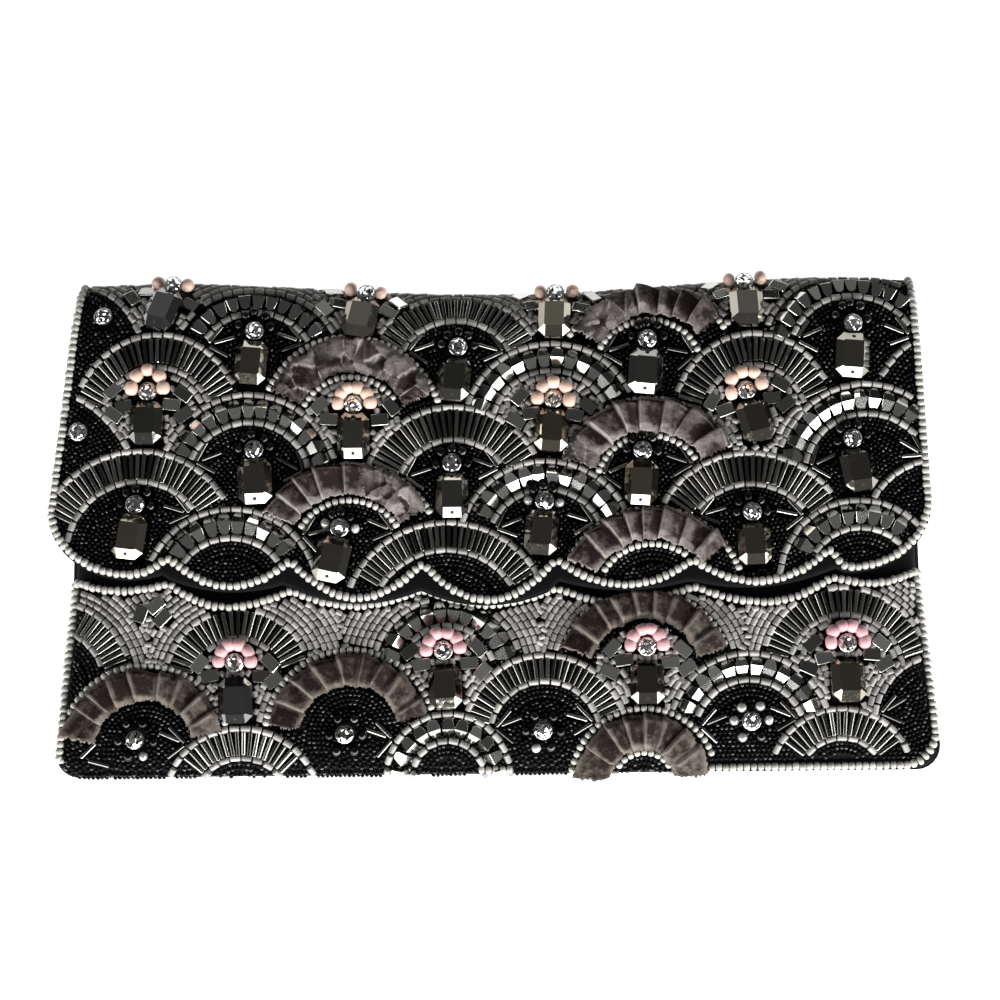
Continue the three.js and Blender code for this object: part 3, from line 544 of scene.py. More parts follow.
class Layout:
    """Where the beads of one surface are sewn, apart from its edge string, clear of their neighbours."""

    # Room that each mark in taken keeps round itself.
    reach = 0.95

    def __init__(self, surface, sizes):
        self.surface = surface
        self.field = FIELDS[surface]
        self.random = np.random.default_rng(LAYOUT_SEEDS[surface])
        self.scallops = [s for s in all_scallops() if surface_of(s.row) == surface]
        self.motifs = [m for m in motifs() if surface_of(m.row) == surface]
        self.grey_length, self.grey_width = sizes.grey_length / MM, sizes.grey_width / MM
        self.bugle_width, self.seed_width = sizes.bugle_width / MM, sizes.seed_width / MM
        self.places = {}
        self.taken = []
        self.flats = []

    def put(self, kind, *args, **kwargs):
        self.places.setdefault(kind, []).append(frames(self.surface, *args, **kwargs))

    def of(self, kind):
        return np.concatenate(self.places.get(kind, [np.zeros((0, 4, 3))]))

    def take(self, x, q):
        self.taken.append(np.stack(np.broadcast_arrays(np.ravel(x), np.ravel(q)), -1))

    def take_bar(self, x, q, turn, length, width=0.0):
        """Marks a bar of that length and width, less the reach that every mark has."""
        a = np.linspace(-1, 1, max(2, int(length) + 1)) * max(0, length / 2 - self.reach)
        b = np.linspace(-1, 1, max(1, int(width))) * max(0, width / 2 - self.reach)
        a, b = (v.ravel() for v in np.meshgrid(a, b))
        x, q, turn = (np.atleast_1d(v)[:, None] for v in np.broadcast_arrays(x, q, turn))
        self.take(x + a * np.cos(turn) - b * np.sin(turn), q + a * np.sin(turn) + b * np.cos(turn))

    def tree(self, marks=None):
        points = np.concatenate(marks or self.taken)
        tree = KDTree(len(points))
        for k, (x, q) in enumerate(points):
            tree.insert((x, q, 0), k)
        tree.balance()
        return tree

    def free(self, tree, x, q, room):
        return np.array([tree.find((a, b, 0))[2] > room for a, b in zip(x, q)], bool)

    def clear(self, x, q, row, margin):
        """True where no scallop of a lower row covers the place."""
        keep = np.ones(np.shape(x), bool)
        for s in self.scallops:
            if s.row > row:
                keep &= np.hypot(x - s.x, q - s.y) > s.outer + margin
        return keep

    def ring(self, s, radius, pitch, offset=0.0):
        """Places round a scallop, a pitch apart: across, along and angle from straight up."""
        count = int(2 * math.radians(RING_HALF_TURN) * radius / pitch)
        angle = (np.arange(count) - count / 2 + offset) * pitch / radius
        return *around(s.x, s.y, radius, angle), angle

    def jitter(self, count, spread):
        return self.random.uniform(-spread, spread, count)

    def uneven(self, count, low, high, short=1.0, thin=1.0):
        """Sizes of tube beads: a length between low and high, then two widths."""
        length = short * self.random.uniform(low, high, count)
        return np.stack([length, *(thin * self.random.uniform(0.95, 1.06, count) for _ in "yz")], -1)

    def build(self):
        self.sew_motifs()
        self.sew_lines()
        self.sew_bands()
        self.sew_rays()
        self.sew_greys()
        self.sew_seeds()
        return self

    def sew_motifs(self):
        """The stones' and crystals' room, with the petals, flat beads and round beads about them."""
        for m in self.motifs:
            self.take_bar(m.x, m.y, m.lean + math.pi / 2, STONE_LENGTH, STONE_WIDTH)
            crystal = from_motif(m, 0, CRYSTAL_STEP[m.row])
            self.take_bar(*crystal, m.lean, CRYSTAL_ROOM, CRYSTAL_ROOM)
            if m.petals:
                self.sew_petals(m, crystal)
                self.sew_flats(m)
            else:
                self.sew_rounds(crystal, m.lean, STONE_ROUNDS, STONE_ROUND_RING, f"{m.row}{m.col}")
        for row, col, dx, dy in LONE_CRYSTALS.values():
            if surface_of(row) == self.surface:
                x, q = lattice(row, col, dx, dy)
                ringed = row == "h"
                self.put("crystal", x, q, LONE_TURN, TRIM_BASE, roll=LONE_ROLL if ringed else 0)
                self.take_bar(x, q, 0, CRYSTAL_ROOM, CRYSTAL_ROOM)
                if ringed:
                    self.sew_rounds((x, q), 0, LONE_ROUNDS, LONE_ROUND_RING, f"{row}{col}")
        if self.surface == "pouch":
            for x, q, turn in LONE_FLATS:
                self.put_flat(x, q, math.radians(turn))
            for x, q, turn in LONE_RAYS:
                self.put_ray(x, q, math.radians(turn))

    def put_flat(self, x, q, turn, **tilt):
        self.put("flat", x, q, turn, FLAT_BASE, **tilt)
        self.take_bar(x, q, turn, FLAT_LENGTH, FLAT_WIDTH)
        self.flats.append(self.taken[-1])

    def put_ray(self, x, q, turn, **tilt):
        self.put("bugle", x, q, turn, RAY_HEIGHT, size=RAY_SIZE, **tilt)
        self.take_bar(x, q, turn, RAY_LENGTH)

    def sew_petals(self, m, crystal):
        count = max(m.petals, PETAL_PLACES)
        share = np.linspace(-0.5, 0.5, count)[:: 1 if m.petals == count else count - 1]
        angle = share * math.pi + self.jitter(m.petals, 0.06) - m.lean
        x, q = around(*crystal, PETAL_RING + self.jitter(m.petals, 0.25), angle)
        q = np.minimum(q, PETAL_LAST_Q)
        size = self.random.uniform(0.92, 1.08, (m.petals, 3))
        self.put("pink", x, q, -angle, TRIM_BASE + PETAL_RISE, tip=self.jitter(m.petals, 0.2), size=size)
        self.take_bar(x, q, -angle, *PETAL_ROOM)

    def sew_flats(self, m):
        own = next(s for s in self.scallops if (s.row, s.col) == (m.row, m.col))
        for across, along, turn in FLATS:
            dx, dy = self.jitter(2, 0.7)
            x, q = from_motif(m, across + dx, CRYSTAL_STEP[m.row] + along + dy)
            turn = math.radians(turn) + m.lean + self.jitter(1, 0.2)[0]
            inside = math.hypot(x - own.x, q - own.y) < own.inner + 0.8 and q < FOLD_TIP_Q + 2
            if inside and self.clear(x, q, m.row, 2.0) and self.field(np.array([x]), np.array([q]))[0]:
                self.put_flat(x, q, turn, tip=self.jitter(1, 0.12), roll=self.jitter(1, 0.16))

    def sew_rounds(self, crystal, lean, angles, ring, name):
        count = len(angles)
        angle = np.radians(angles) - lean + self.jitter(count, 0.12)
        x, q = around(*crystal, ring + self.jitter(count, 0.3), angle)
        bright = np.isin(np.arange(count), SILVER.get(name, ()))
        for kind, pick in (("round", ~bright), ("silver", bright)):
            if pick.any():
                size = self.random.uniform(0.9, 1.08, (int(pick.sum()), 3))
                self.put(kind, *only(pick, x, q, angle), ROUND_HEIGHT, tip=0.3, size=size)
        self.take_bar(x, q, angle, ROUND_ROOM, ROUND_ROOM)

    def sew_lines(self):
        """The bead lines that edge each band."""
        self.flats_tree = self.tree(self.flats)
        for s in self.scallops:
            if s.band == "none":
                continue
            hidden = s.band == "line" or (s.band == "velvet" and s.row in "gh")
            for radius in (s.outer,) if hidden else (s.outer, s.inner):
                if s.band == "velvet":
                    self.sew_line("ivory", s, radius, LINE_PITCH, LINE_LENGTH)
                else:
                    self.sew_line("grey", s, radius, self.grey_length + GREY_LINE_GAP, self.grey_width)

    def sew_line(self, kind, s, radius, pitch, width):
        x, q, angle = self.ring(s, radius, pitch)
        keep = self.clear(x, q, s.row, width - 0.1) & self.field(x, q)
        keep &= self.free(self.flats_tree, x, q, self.reach + 0.5)
        if keep.any():
            x, q, angle = only(keep, x, q, angle)
            count = len(x)
            height = BEAD_BASE + width / 2 + self.jitter(count, 0.08)
            size = self.uneven(count, 0.93, 1.02)
            turn = -angle + self.jitter(count, 0.09)
            self.put(kind, x, q, turn, height, tip=self.jitter(count, 0.05), size=size)
            self.take_bar(x, q, -angle, pitch - 0.1)

    def sew_bands(self):
        """The bugles or cut beads of each band, or the room that its velvet takes."""
        for s in self.scallops:
            middle = (s.outer + s.inner) / 2
            if s.band == "bugle":
                pitch = self.bugle_width * middle / (s.inner + 0.9)
                room = s.outer - s.inner - 1.1
                self.sew_band("bugle", s, pitch, BUGLE_HEIGHT, room, BUGLE_LENGTH, 0.6, 0.04)
            elif s.band == "cut":
                room = s.outer - s.inner - 1.7
                lean = CUT_LEAN.get(f"{s.row}{s.col}", 0)
                self.sew_band("cut", s, CUT_PITCH, CUT_BASE + abs(lean), room, CUT_LENGTH, 1.2, 0.12, lean)
            elif s.band == "velvet":
                ruffle = next(r for r in RUFFLES if (r.row, r.col) == (s.row, s.col))
                angle = np.radians(np.arange(ruffle.start + 2, ruffle.end - 1, 3))
                for radius in np.arange(s.inner + 1.9, s.outer - 1, 1.5):
                    x, q = around(s.x, s.y, radius, angle)
                    self.take(*only(self.clear(x, q, s.row, 1), x, q))

    def sew_band(self, kind, s, pitch, height, room, length, margin, loose, lean=0.0):
        """Beads made at a length and scaled to the band's room, pointing out of the scallop's centre."""
        middle = (s.outer + s.inner) / 2
        x, q, angle = self.ring(s, middle, pitch)
        keep = np.ones(len(x), bool)
        for radius in (s.inner + 1.2, middle):
            end = around(s.x, s.y, radius, angle)
            keep &= self.clear(*end, s.row, margin) & self.field(*end)
        x, q, angle = only(keep, x, q, angle)
        count = len(x)
        size = np.array((room / length, 1, 1)) * self.random.uniform(0.96, 1.02, (count, 3))
        turn = math.pi / 2 - angle + self.jitter(count, 0.035)
        tip, roll = lean + self.jitter(count, loose), self.jitter(count, loose)
        self.put(kind, x, q, turn, height + self.jitter(count, 0.1), tip=tip, roll=roll, size=size)
        self.take_bar(x, q, math.pi / 2 - angle, room + 0.6)

    def sew_rays(self):
        """Three bugles that fan out of each corner of a black scallop."""
        for s in self.scallops:
            if s.row in "bdeh" and 0 <= s.col < (9 if s.row == "h" else 8):
                for side in (-1, 1):
                    for t in self.below(s):
                        if t.col == s.col + side:
                            self.sew_fan(s, t, side)

    def below(self, s):
        """The two scallops of the next row that overlap this one."""
        return [t for t in self.scallops if t.row == chr(ord(s.row) + 1) and abs(t.col - s.col) == 1]

    def sew_fan(self, s, t, side):
        """The rays in the corner where scallop t cuts into the inner line of scallop s."""
        dx, dy = t.x - s.x, t.y - s.y
        gap = math.hypot(dx, dy)
        along = (gap**2 + s.inner**2 - t.outer**2) / (2 * gap)
        if s.inner**2 <= along**2:
            return
        off = math.sqrt(s.inner**2 - along**2)
        corners = []
        for k in (-off, off):
            corners.append((s.x + (along * dx - k * dy) / gap, s.y + (along * dy + k * dx) / gap))
        cx, cy = max(corners, key=lambda c: c[1])
        up = math.atan2(cy - s.y, cx - s.x) + side * math.pi / 2
        down = math.atan2(cy - t.y, cx - t.x) + side * math.pi / 2
        wedge = math.remainder(down - up, 2 * math.pi)
        middle = up + wedge / 2
        back = min(3.2, 1.7 / max(0.3, abs(math.sin(wedge / 2))))
        cx, cy = cx + back * math.cos(middle), cy + back * math.sin(middle)
        chord = math.copysign(RAY_LENGTH / 2 / s.inner, wedge)
        for angle, start in zip((up + chord, middle, down - chord * 0.2), RAY_STARTS):
            angle += self.jitter(1, 0.06)[0]
            if s.row == "h":
                level = math.pi if side > 0 else 0.0
                angle = level + float(np.clip(math.remainder(angle - level, 2 * math.pi), *RAY_TURNS))
            reach = start + RAY_LENGTH / 2
            x, q = cx + reach * math.cos(angle), cy + reach * math.sin(angle)
            if self.field(np.array([x]), np.array([q]))[0] and self.clear(x, q, s.row, 0.6):
                if self.tree().find((x, q, 0))[2] > 1.1:
                    self.put_ray(x, q, angle, tip=self.jitter(1, 0.07))

    def sew_greys(self):
        """Arcs of grey beads round the stones of the grey rows, and short ones in the holes left."""
        if self.surface == "pouch":
            self.fill_pouch_top()
        for s in self.scallops:
            if s.row in GREY_ROWS and 0 <= s.col < 8:
                for step in range(1, GREY_ARCS + 1):
                    for t in self.below(s):
                        self.fill_arc(t, t.outer + GREY_ARC_PITCH * step, s)
                for step in range(1, GREY_ARCS + 1):
                    self.fill_arc(s, s.inner - GREY_ARC_PITCH * step, s)
                self.fill_short(lambda x, q: self.field(x, q) & self.inside(s, x, q, 1, 1.3), 1.6)

    def inside(self, s, x, q, edge, margin):
        return (np.hypot(x - s.x, q - s.y) < s.inner - edge) & self.clear(x, q, s.row, margin)

    def fill_short(self, within, turned):
        """Short grey beads at odd turns in the holes left there."""
        x, q = self.room_left(1.9, within)
        if len(x):
            count, height = len(x), BEAD_BASE + self.grey_width / 2
            width = np.full(count, 0.92)
            short = np.stack([self.random.uniform(0.6, 0.72, count), width, width], -1)
            turn = self.jitter(count, turned)
            self.put("grey", x, q, turn, height, tip=self.jitter(count, 0.2), size=short)
            self.take(x, q)

    def fill_arc(self, centre, radius, owner):
        """A row of grey beads round a centre, where the owner's field has room for them."""
        if radius < LEAST_ARC:
            return
        length, width = self.grey_length, self.grey_width
        x, q, angle = self.ring(centre, radius, length + GREY_GAP, offset=self.random.random())
        keep = self.field(x, q) & self.inside(owner, x, q, 0.8, 1.5)
        if not keep.any():
            return
        x, q, angle = only(keep, x, q, angle)
        tree, room = self.tree(), self.reach + width / 2 - 0.22
        keep = np.ones(len(x), bool)
        for along in (-0.3 * length, 0, 0.3 * length):
            keep &= self.free(tree, x + along * np.cos(angle), q - along * np.sin(angle), room)
        if keep.any():
            size = self.uneven(keep.sum(), 0.93, 1.02)
            self.put_tubes(*only(keep, x, q, angle), length, width, size, 0.08, 0.06)

    def put_tubes(self, x, q, angle, length, width, size, turned, tipped):
        count = len(x)
        turn, height = -angle + self.jitter(count, turned), BEAD_BASE + width / 2 + self.jitter(count, 0.1)
        self.put("grey", x, q, turn, height, tip=self.jitter(count, tipped), size=size)
        self.take_bar(x, q, -angle, length)

    def fill_pouch_top(self):
        """Rows of grey beads that follow the fans below and meet in points between them."""
        tops = [s for s in self.scallops if s.row == "g"]
        length, width = self.grey_length * POUCH_SHORT, self.grey_width * POUCH_THIN
        steps = range(1, POUCH_ARCS + 1)
        arcs = [(s, step, s.outer + 0.2 + (width + 0.12) * step) for s in tops for step in steps]

        def nearest(s, radius, x, q, slack):
            keep = self.field(x, q)
            for other in tops:
                if other is not s:
                    keep &= np.hypot(x - other.x, q - other.y) - other.outer > radius - s.outer + slack
            return keep

        for s, step, radius in arcs:
            x, q, angle = self.ring(s, radius, length + GREY_GAP, offset=0.5 * (step % 2))
            x, q, angle = only(nearest(s, radius, x, q, 0.5) & self.clear(x, q, "f", 1.3), x, q, angle)
            if len(x):
                keep = self.free(self.tree(), x, q, self.reach + width / 2 - 0.2)
                if keep.any():
                    size = self.uneven(keep.sum(), 0.92, 1.03, POUCH_SHORT, POUCH_THIN)
                    self.put_tubes(*only(keep, x, q, angle), length, width, size, 0.1, 0.07)
        self.fill_short(lambda x, q: self.field(x, q) & self.clear(x, q, "f", 1.3), 0.7)
        angle = np.radians(np.arange(-110, 111, 1.5))
        for s, _, radius in arcs:
            x, q = around(s.x, s.y, radius, angle)
            self.take(*only(nearest(s, radius, x, q, 0) & self.clear(x, q, "g", 1.0), x, q))

    def sew_seeds(self):
        """Black seed beads: rows that follow the fan's inner line, then level rows in all the room left."""
        size = self.seed_width
        for s in self.scallops:
            for step in range(SEED_ARCS):
                x, q, _ = self.ring(s, s.inner - 1.65 - step * size * 0.97, size, offset=0.5 * (step % 2))
                x, q = only(self.field(x, q) & self.clear(x, q, s.row, 0.9), x, q)
                if len(x):
                    self.put_black(*only(self.free(self.tree(), x, q, self.reach + size / 2 - 0.3), x, q))
        if self.surface == "pouch":
            self.sew_rim()
        self.put_black(*self.room_left(size, self.field))

    def sew_rim(self):
        """Two rows of black seeds along the lower edge, where there is no string."""
        for rise, room in ((0.1, 1.4), (0.7, 0.4)):
            x = np.arange(RIM_START_X + rise, WHITE_BOTTOM[0][0] - 2, self.seed_width * 0.96)
            q = np.full(len(x), FRONT_BOTTOM_Y + rise)
            self.put_black(*only(self.free(self.tree(), x, q, room), x, q))

    def room_left(self, size, field):
        """Places for beads of that size in every hole, taken row by row over a fine raster."""
        cell = 0.25
        low, high = FIELD_BOXES[self.surface]
        x, q = (np.arange(a, b, cell) for a, b in zip(low, high))
        used = ~field(*(v.ravel() for v in np.meshgrid(x, q, indexing="ij"))).reshape(len(x), len(q))

        def disc(radius):
            reach = np.arange(-int(radius / cell), int(radius / cell) + 1)
            a, b = (v.ravel() for v in np.meshgrid(reach, reach))
            return only(np.hypot(a, b) * cell <= radius, a, b)

        def mark(column, row, near):
            a, b = column + near[0], row + near[1]
            fits = (a >= 0) & (a < len(x)) & (b >= 0) & (b < len(q))
            used[a[fits], b[fits]] = True

        near = disc(self.reach + size / 2 - 0.3)
        for column, row in np.rint((np.concatenate(self.taken) - low) / cell).astype(int):
            mark(column, row, near)
        near = disc(size * 0.94)
        found = []
        for row in range(len(q)):
            for column in np.flatnonzero(~used[:, row]):
                if not used[column, row]:
                    found.append((x[column], q[row]))
                    mark(column, row, near)
        return np.array(found).reshape(-1, 2).T

    def put_black(self, x, q):
        count = len(x)
        if count:
            self.take(x, q)
            height = BEAD_BASE + self.seed_width / 2 + self.jitter(count, 0.1)
            spread = self.random.uniform(0.92, 1.08, (count, 3))
            place = x + self.jitter(count, 0.06), q + self.jitter(count, 0.06), self.jitter(count, 3)
            self.put("black", *place, height, tip=self.jitter(count, 0.4), size=spread)


@lru_cache(maxsize=None)
def layout(surface):
    return Layout(surface, bpy.context.scene.clutch_sizes).build()


def both_layouts():
    return ((name, layout(name)) for name in SURFACES)


# Bead shapes, X along the hole, Z out of the cloth


def shape(build, *args):
    """Vertices, faces, smooth flags and finish numbers of a shape made with bmesh."""
    bm = bmesh.new()
    build(bm, *args)
    bmesh.ops.recalc_face_normals(bm, faces=bm.faces)
    bm.verts.index_update()
    made = (
        np.array([v.co for v in bm.verts], float),
        [[v.index for v in f.verts] for f in bm.faces],
        [f.smooth for f in bm.faces],
        [f.material_index for f in bm.faces],
    )
    bm.free()
    return made


LIE_ALONG_X = Matrix.Rotation(math.pi / 2, 4, "Y")


def bevel(bm, edges, offset, segments=1):
    bmesh.ops.bevel(
        bm,
        geom=edges,
        offset=offset,
        offset_type="OFFSET",
        segments=segments,
        profile=0.5,
        affect="EDGES",
        material=-1,
    )


def rise(edge):
    return abs(edge.verts[0].co.z - edge.verts[1].co.z)


def split_at(bm, x):
    everything = bm.verts[:] + bm.edges[:] + bm.faces[:]
    bmesh.ops.bisect_plane(bm, geom=everything, plane_co=(x, 0, 0), plane_no=(1, 0, 0))


def seed_shape(bm, length, width, sides, rings, blunt=2.0):
    """A round bead; a higher blunt gives it straighter sides and flatter ends."""
    bmesh.ops.create_uvsphere(bm, u_segments=sides, v_segments=rings, radius=1, matrix=LIE_ALONG_X)
    for v in bm.verts:
        along = min(1, abs(v.co.x))
        if along < 0.999:
            swell = (1 - along**blunt) ** (1 / blunt) / math.sqrt(1 - along**2)
            v.co.y, v.co.z = v.co.y * swell, v.co.z * swell
        else:
            v.co.x *= 0.82
    bmesh.ops.scale(bm, vec=(length / 2, width / 2, width / 2), verts=bm.verts)
    for f in bm.faces:
        f.smooth = True


def tube_shape(bm, length, width, sides, rim):
    """A tube bead with bevelled ends; a loop near each end keeps the shading of its side even."""
    radius = width / 2
    bmesh.ops.create_cone(
        bm, cap_ends=True, segments=sides, radius1=radius, radius2=radius, depth=length, matrix=LIE_ALONG_X
    )
    bevel(bm, [e for e in bm.edges if abs(e.verts[0].co.x - e.verts[1].co.x) < LEVEL], rim)
    for end in (-1, 1):
        split_at(bm, end * (length / 2 - rim - 0.1))
    bm.normal_update()
    for f in bm.faces:
        f.smooth = abs(f.normal.x) < 0.1


def cut_shape(bm, length, width, height):
    """A cut bead: widest at its ridge, with a facet down to each end, the steeper one inside the fan."""
    bmesh.ops.create_cube(bm, size=1)
    split_at(bm, 0.02)
    upright = [e for e in bm.edges if rise(e) > 0.5 and abs(e.verts[0].co.x) > 0.2]
    for v in bm.verts:
        ridge, top = abs(v.co.x) < 0.2, v.co.z > 0
        taper, low = CUT_OUTER if v.co.x > 0 else CUT_INNER
        v.co.y *= width * (1 if ridge else taper)
        v.co.z = (height if ridge else height * low) if top else 0
        v.co.x *= length
    bevel(bm, upright, 0.6)
    bevel(bm, bm.edges[:], 0.08)


def flat_shape(bm, length, width, height):
    bmesh.ops.create_cube(bm, size=1, matrix=Matrix.Diagonal((length, width, height, 1)))
    bevel(bm, [e for e in bm.edges if rise(e) > height / 2], 0.45, 2)
    bevel(bm, [e for e in bm.edges if rise(e) < LEVEL and e.verts[0].co.z > 0], 0.3, 3)
    bmesh.ops.translate(bm, vec=(0, 0, height / 2), verts=bm.verts)


def cut_rectangle(width, length, cut):
    x, y = width / 2, length / 2
    half = [(x, y - cut), (x - cut, y), (cut - x, y), (-x, y - cut)]
    return half + [(-x, -y) for x, y in half]


def circle_outline(count, radius, turn=0.0):
    angles = [2 * math.pi * (k + turn) / count for k in range(count)]
    return [(radius * math.cos(a), radius * math.sin(a)) for a in angles]


def loft(bm, outlines, finish_number=0):
    """Closed solid through outlines of equal length, each a list of places and a height."""
    before = set(bm.faces)
    loops = []
    for number, (places, z) in enumerate(outlines):
        capped = number in (0, len(outlines) - 1)
        ring = bmesh.ops.create_circle(bm, cap_ends=capped, segments=len(places), radius=1)["verts"]
        for v, (x, y) in zip(ring, places):
            v.co = (x, y, z)
        loops.append([bm.edges.get((a, b)) for a, b in zip(ring, ring[1:] + ring[:1])])
    for low, high in zip(loops, loops[1:]):
        bmesh.ops.bridge_loops(bm, edges=low + high)
    for f in bm.faces:
        if f not in before:
            f.material_index = finish_number


def stone_shape(bm):
    """A step-cut stone with a sewing hole in each end bevel, a disc that paints the hole's shade."""
    girdle = cut_rectangle(STONE_WIDTH, STONE_LENGTH, 2.3)
    loft(bm, [
        (cut_rectangle(STONE_WIDTH - 0.6, STONE_LENGTH - 0.6, 2.1), 0),
        (girdle, 0.7),
        (girdle, STONE_GIRDLE),
        (cut_rectangle(*STONE_TABLE, 0.35), STONE_HEIGHT),
    ])
    run, up = (STONE_LENGTH - STONE_TABLE[1]) / 2, STONE_HEIGHT - STONE_GIRDLE
    for side in (1, -1):
        middle = Matrix.Translation((0, side * (STONE_LENGTH / 2 - run * 0.5), STONE_GIRDLE + up * 0.5))
        lean = Matrix.Rotation(-side * math.atan2(up, run), 4, "X")
        place = middle @ lean @ Matrix.Translation((0, 0, HOLE_LIFT))
        made = bmesh.ops.create_circle(bm, cap_ends=True, segments=10, radius=HOLE_RADIUS, matrix=place)
        # The disc takes the near-black finish that paints the shade inside the hole.
        for f in {f for v in made["verts"] for f in v.link_faces}:
            f.material_index = 1


def crystal_shape(bm):
    """A round brilliant in a small metal cup."""
    loft(bm, [(circle_outline(12, radius), z) for radius, z in CUP_SECTION], 1)
    before = set(bm.faces)
    loft(bm, [(circle_outline(12, radius, turn), z) for radius, turn, z in BRILLIANT_SECTION])
    bmesh.ops.triangulate(bm, faces=[f for f in bm.faces if f not in before and len(f.verts) == 4])


def joined(name, made, places, finishes, random):
    """One mesh object of a shape repeated at every place, with a tone for each copy."""
    verts, faces, smooth, kinds = made
    count, size = len(places), len(verts)
    points = (places[:, None, 0] + np.einsum("vk,nkc->nvc", verts, places[:, 1:])) * MM
    corner_counts = np.array([len(f) for f in faces])
    corners = np.concatenate([np.array(f) for f in faces])
    loops = (corners[None, :] + (np.arange(count) * size)[:, None]).ravel()
    starts = np.concatenate([[0], np.cumsum(np.tile(corner_counts, count))[:-1]])
    mesh = bpy.data.meshes.new(name)
    mesh.vertices.add(count * size)
    mesh.vertices.foreach_set("co", points.ravel().astype(np.float32))
    mesh.loops.add(len(loops))
    mesh.loops.foreach_set("vertex_index", loops.astype(np.int32))
    mesh.polygons.add(len(starts))
    mesh.polygons.foreach_set("loop_start", starts.astype(np.int32))
    mesh.update(calc_edges=True)
    mesh.polygons.foreach_set("use_smooth", np.tile(np.array(smooth, bool), count))
    mesh.polygons.foreach_set("material_index", np.tile(np.array(kinds, np.int32), count))
    tone = mesh.attributes.new("tone", "FLOAT", "POINT")
    tone.data.foreach_set("value", np.repeat(random.random(count), size).astype(np.float32))
    for used in finishes:
        mesh.materials.append(used)
    mesh.validate()
    return placed(name, mesh)


def linked(name, data):
    made = bpy.data.objects.new(name, data)
    bpy.context.scene.collection.objects.link(made)
    return made


def placed(name, mesh):
    made = linked(name, mesh)
    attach(made, "root")
    return made


def mesh_from(bm, name, finish_used):
    mesh = bpy.data.meshes.new(name)
    bm.to_mesh(mesh)
    bm.free()
    mesh.materials.append(finish_used)
    return mesh


# Finishes


def finish(name, **sockets):
    """A material with those shader sockets set, its nodes and its shader."""
    material = bpy.data.materials.new(name)
    material.use_nodes = True
    shader = material.node_tree.nodes["Principled BSDF"]
    for socket, value in sockets.items():
        shader.inputs[socket.replace("_", " ").title().replace("Ior", "IOR")].default_value = value
    return material, material.node_tree, shader


def rgba(colour):
    return (*colour, 1)


def level_grey(value):
    return (value, value, value, 1)


def shades(colour, dark, light):
    """A colour's darker and lighter shade."""
    return [[min(1, c * share) for c in colour] for share in (dark, light)]


def node(tree, kind, inputs, **settings):
    """A new shader node with those settings. Each input is a value, or a socket to link from."""
    made = tree.nodes.new(f"ShaderNode{kind}")
    for name, value in settings.items():
        setattr(made, name, value)
    for name, value in inputs.items():
        if isinstance(value, bpy.types.NodeSocket):
            tree.links.new(value, made.inputs[name])
        else:
            made.inputs[name].default_value = value
    return made


def attribute_in(tree, name):
    return node(tree, "Attribute", {}, attribute_name=name).outputs["Fac"]


def toned(name, dark, light, **sockets):
    """A finish whose colour runs from dark to light with each bead's own tone."""
    material, tree, shader = finish(name, **sockets)
    colours = {0: attribute_in(tree, "tone"), 6: rgba(dark), 7: rgba(light)}
    mix = node(tree, "Mix", colours, data_type="RGBA")
    tree.links.new(mix.outputs[2], shader.inputs["Base Color"])
    return material


def noise_in(tree, scale, detail=2.0, roughness=0.5):
    place = node(tree, "TexCoord", {}).outputs["Object"]
    inputs = {"Vector": place, "Scale": scale, "Detail": detail, "Roughness": roughness}
    return node(tree, "TexNoise", inputs).outputs["Fac"]


def bump_from(tree, source, strength, distance):
    bump = node(tree, "Bump", {"Strength": strength, "Distance": distance, "Height": source})
    tree.links.new(bump.outputs["Normal"], tree.nodes["Principled BSDF"].inputs["Normal"])


def satin_finish(colour):
    material, tree, _ = finish(
        "black_satin", base_color=rgba(colour), roughness=0.68, specular_ior_level=0.04
    )
    bump_from(tree, noise_in(tree, 900), strength=0.25, distance=0.0002)
    return material


def velvet_finish(name, dark, light):
    """Pile from dark to pale: painted sheen on creases and rims, painted shade at pleat ends, paler cut
    edges.
    """
    material, tree, shader = finish(
        name,
        roughness=0.95,
        sheen_weight=0.06,
        sheen_roughness=0.4,
        sheen_tint=rgba(light),
        specular_ior_level=0.03,
    )
    # The paleness attribute holds painted sheen and painted shade besides the pile's own tones.
    grain = {0: noise_in(tree, 340, 5, 0.68), 1: 0.9, 2: attribute_in(tree, "nap")}
    blend = node(tree, "Math", grain, operation="MULTIPLY_ADD")
    ramp = node(tree, "ValToRGB", {"Fac": blend.outputs[0]})
    for stop, position, colour in zip(ramp.color_ramp.elements, (0.45, 1.0), (dark, light)):
        stop.position = position
        stop.color = rgba(colour)
    tree.links.new(ramp.outputs["Color"], shader.inputs["Base Color"])
    bump_from(tree, noise_in(tree, 1600, 3), strength=0.6, distance=0.0004)
    return material


def glinting(material, from_tone):
    """Leaves a strong highlight only on the beads above that tone."""
    tree = material.node_tree
    inputs = {"Value": attribute_in(tree, "tone"), "From Min": from_tone, "To Min": 0.07, "To Max": 1.0}
    share = node(tree, "MapRange", inputs)
    tree.links.new(share.outputs["Result"], tree.nodes["Principled BSDF"].inputs["Specular IOR Level"])
    return material


def stone_finish(colour):
    """Smoky mirror, from a cool grey to the stones' own colour, with a slightly uneven face."""
    cool = [sum(colour) / 3 * 0.8] * 3
    material = toned("smoky_stone", cool, [c * 1.2 for c in colour], roughness=0.06, metallic=1.0)
    tree = material.node_tree
    bump_from(tree, noise_in(tree, 160), strength=0.08, distance=0.0012)
    return material


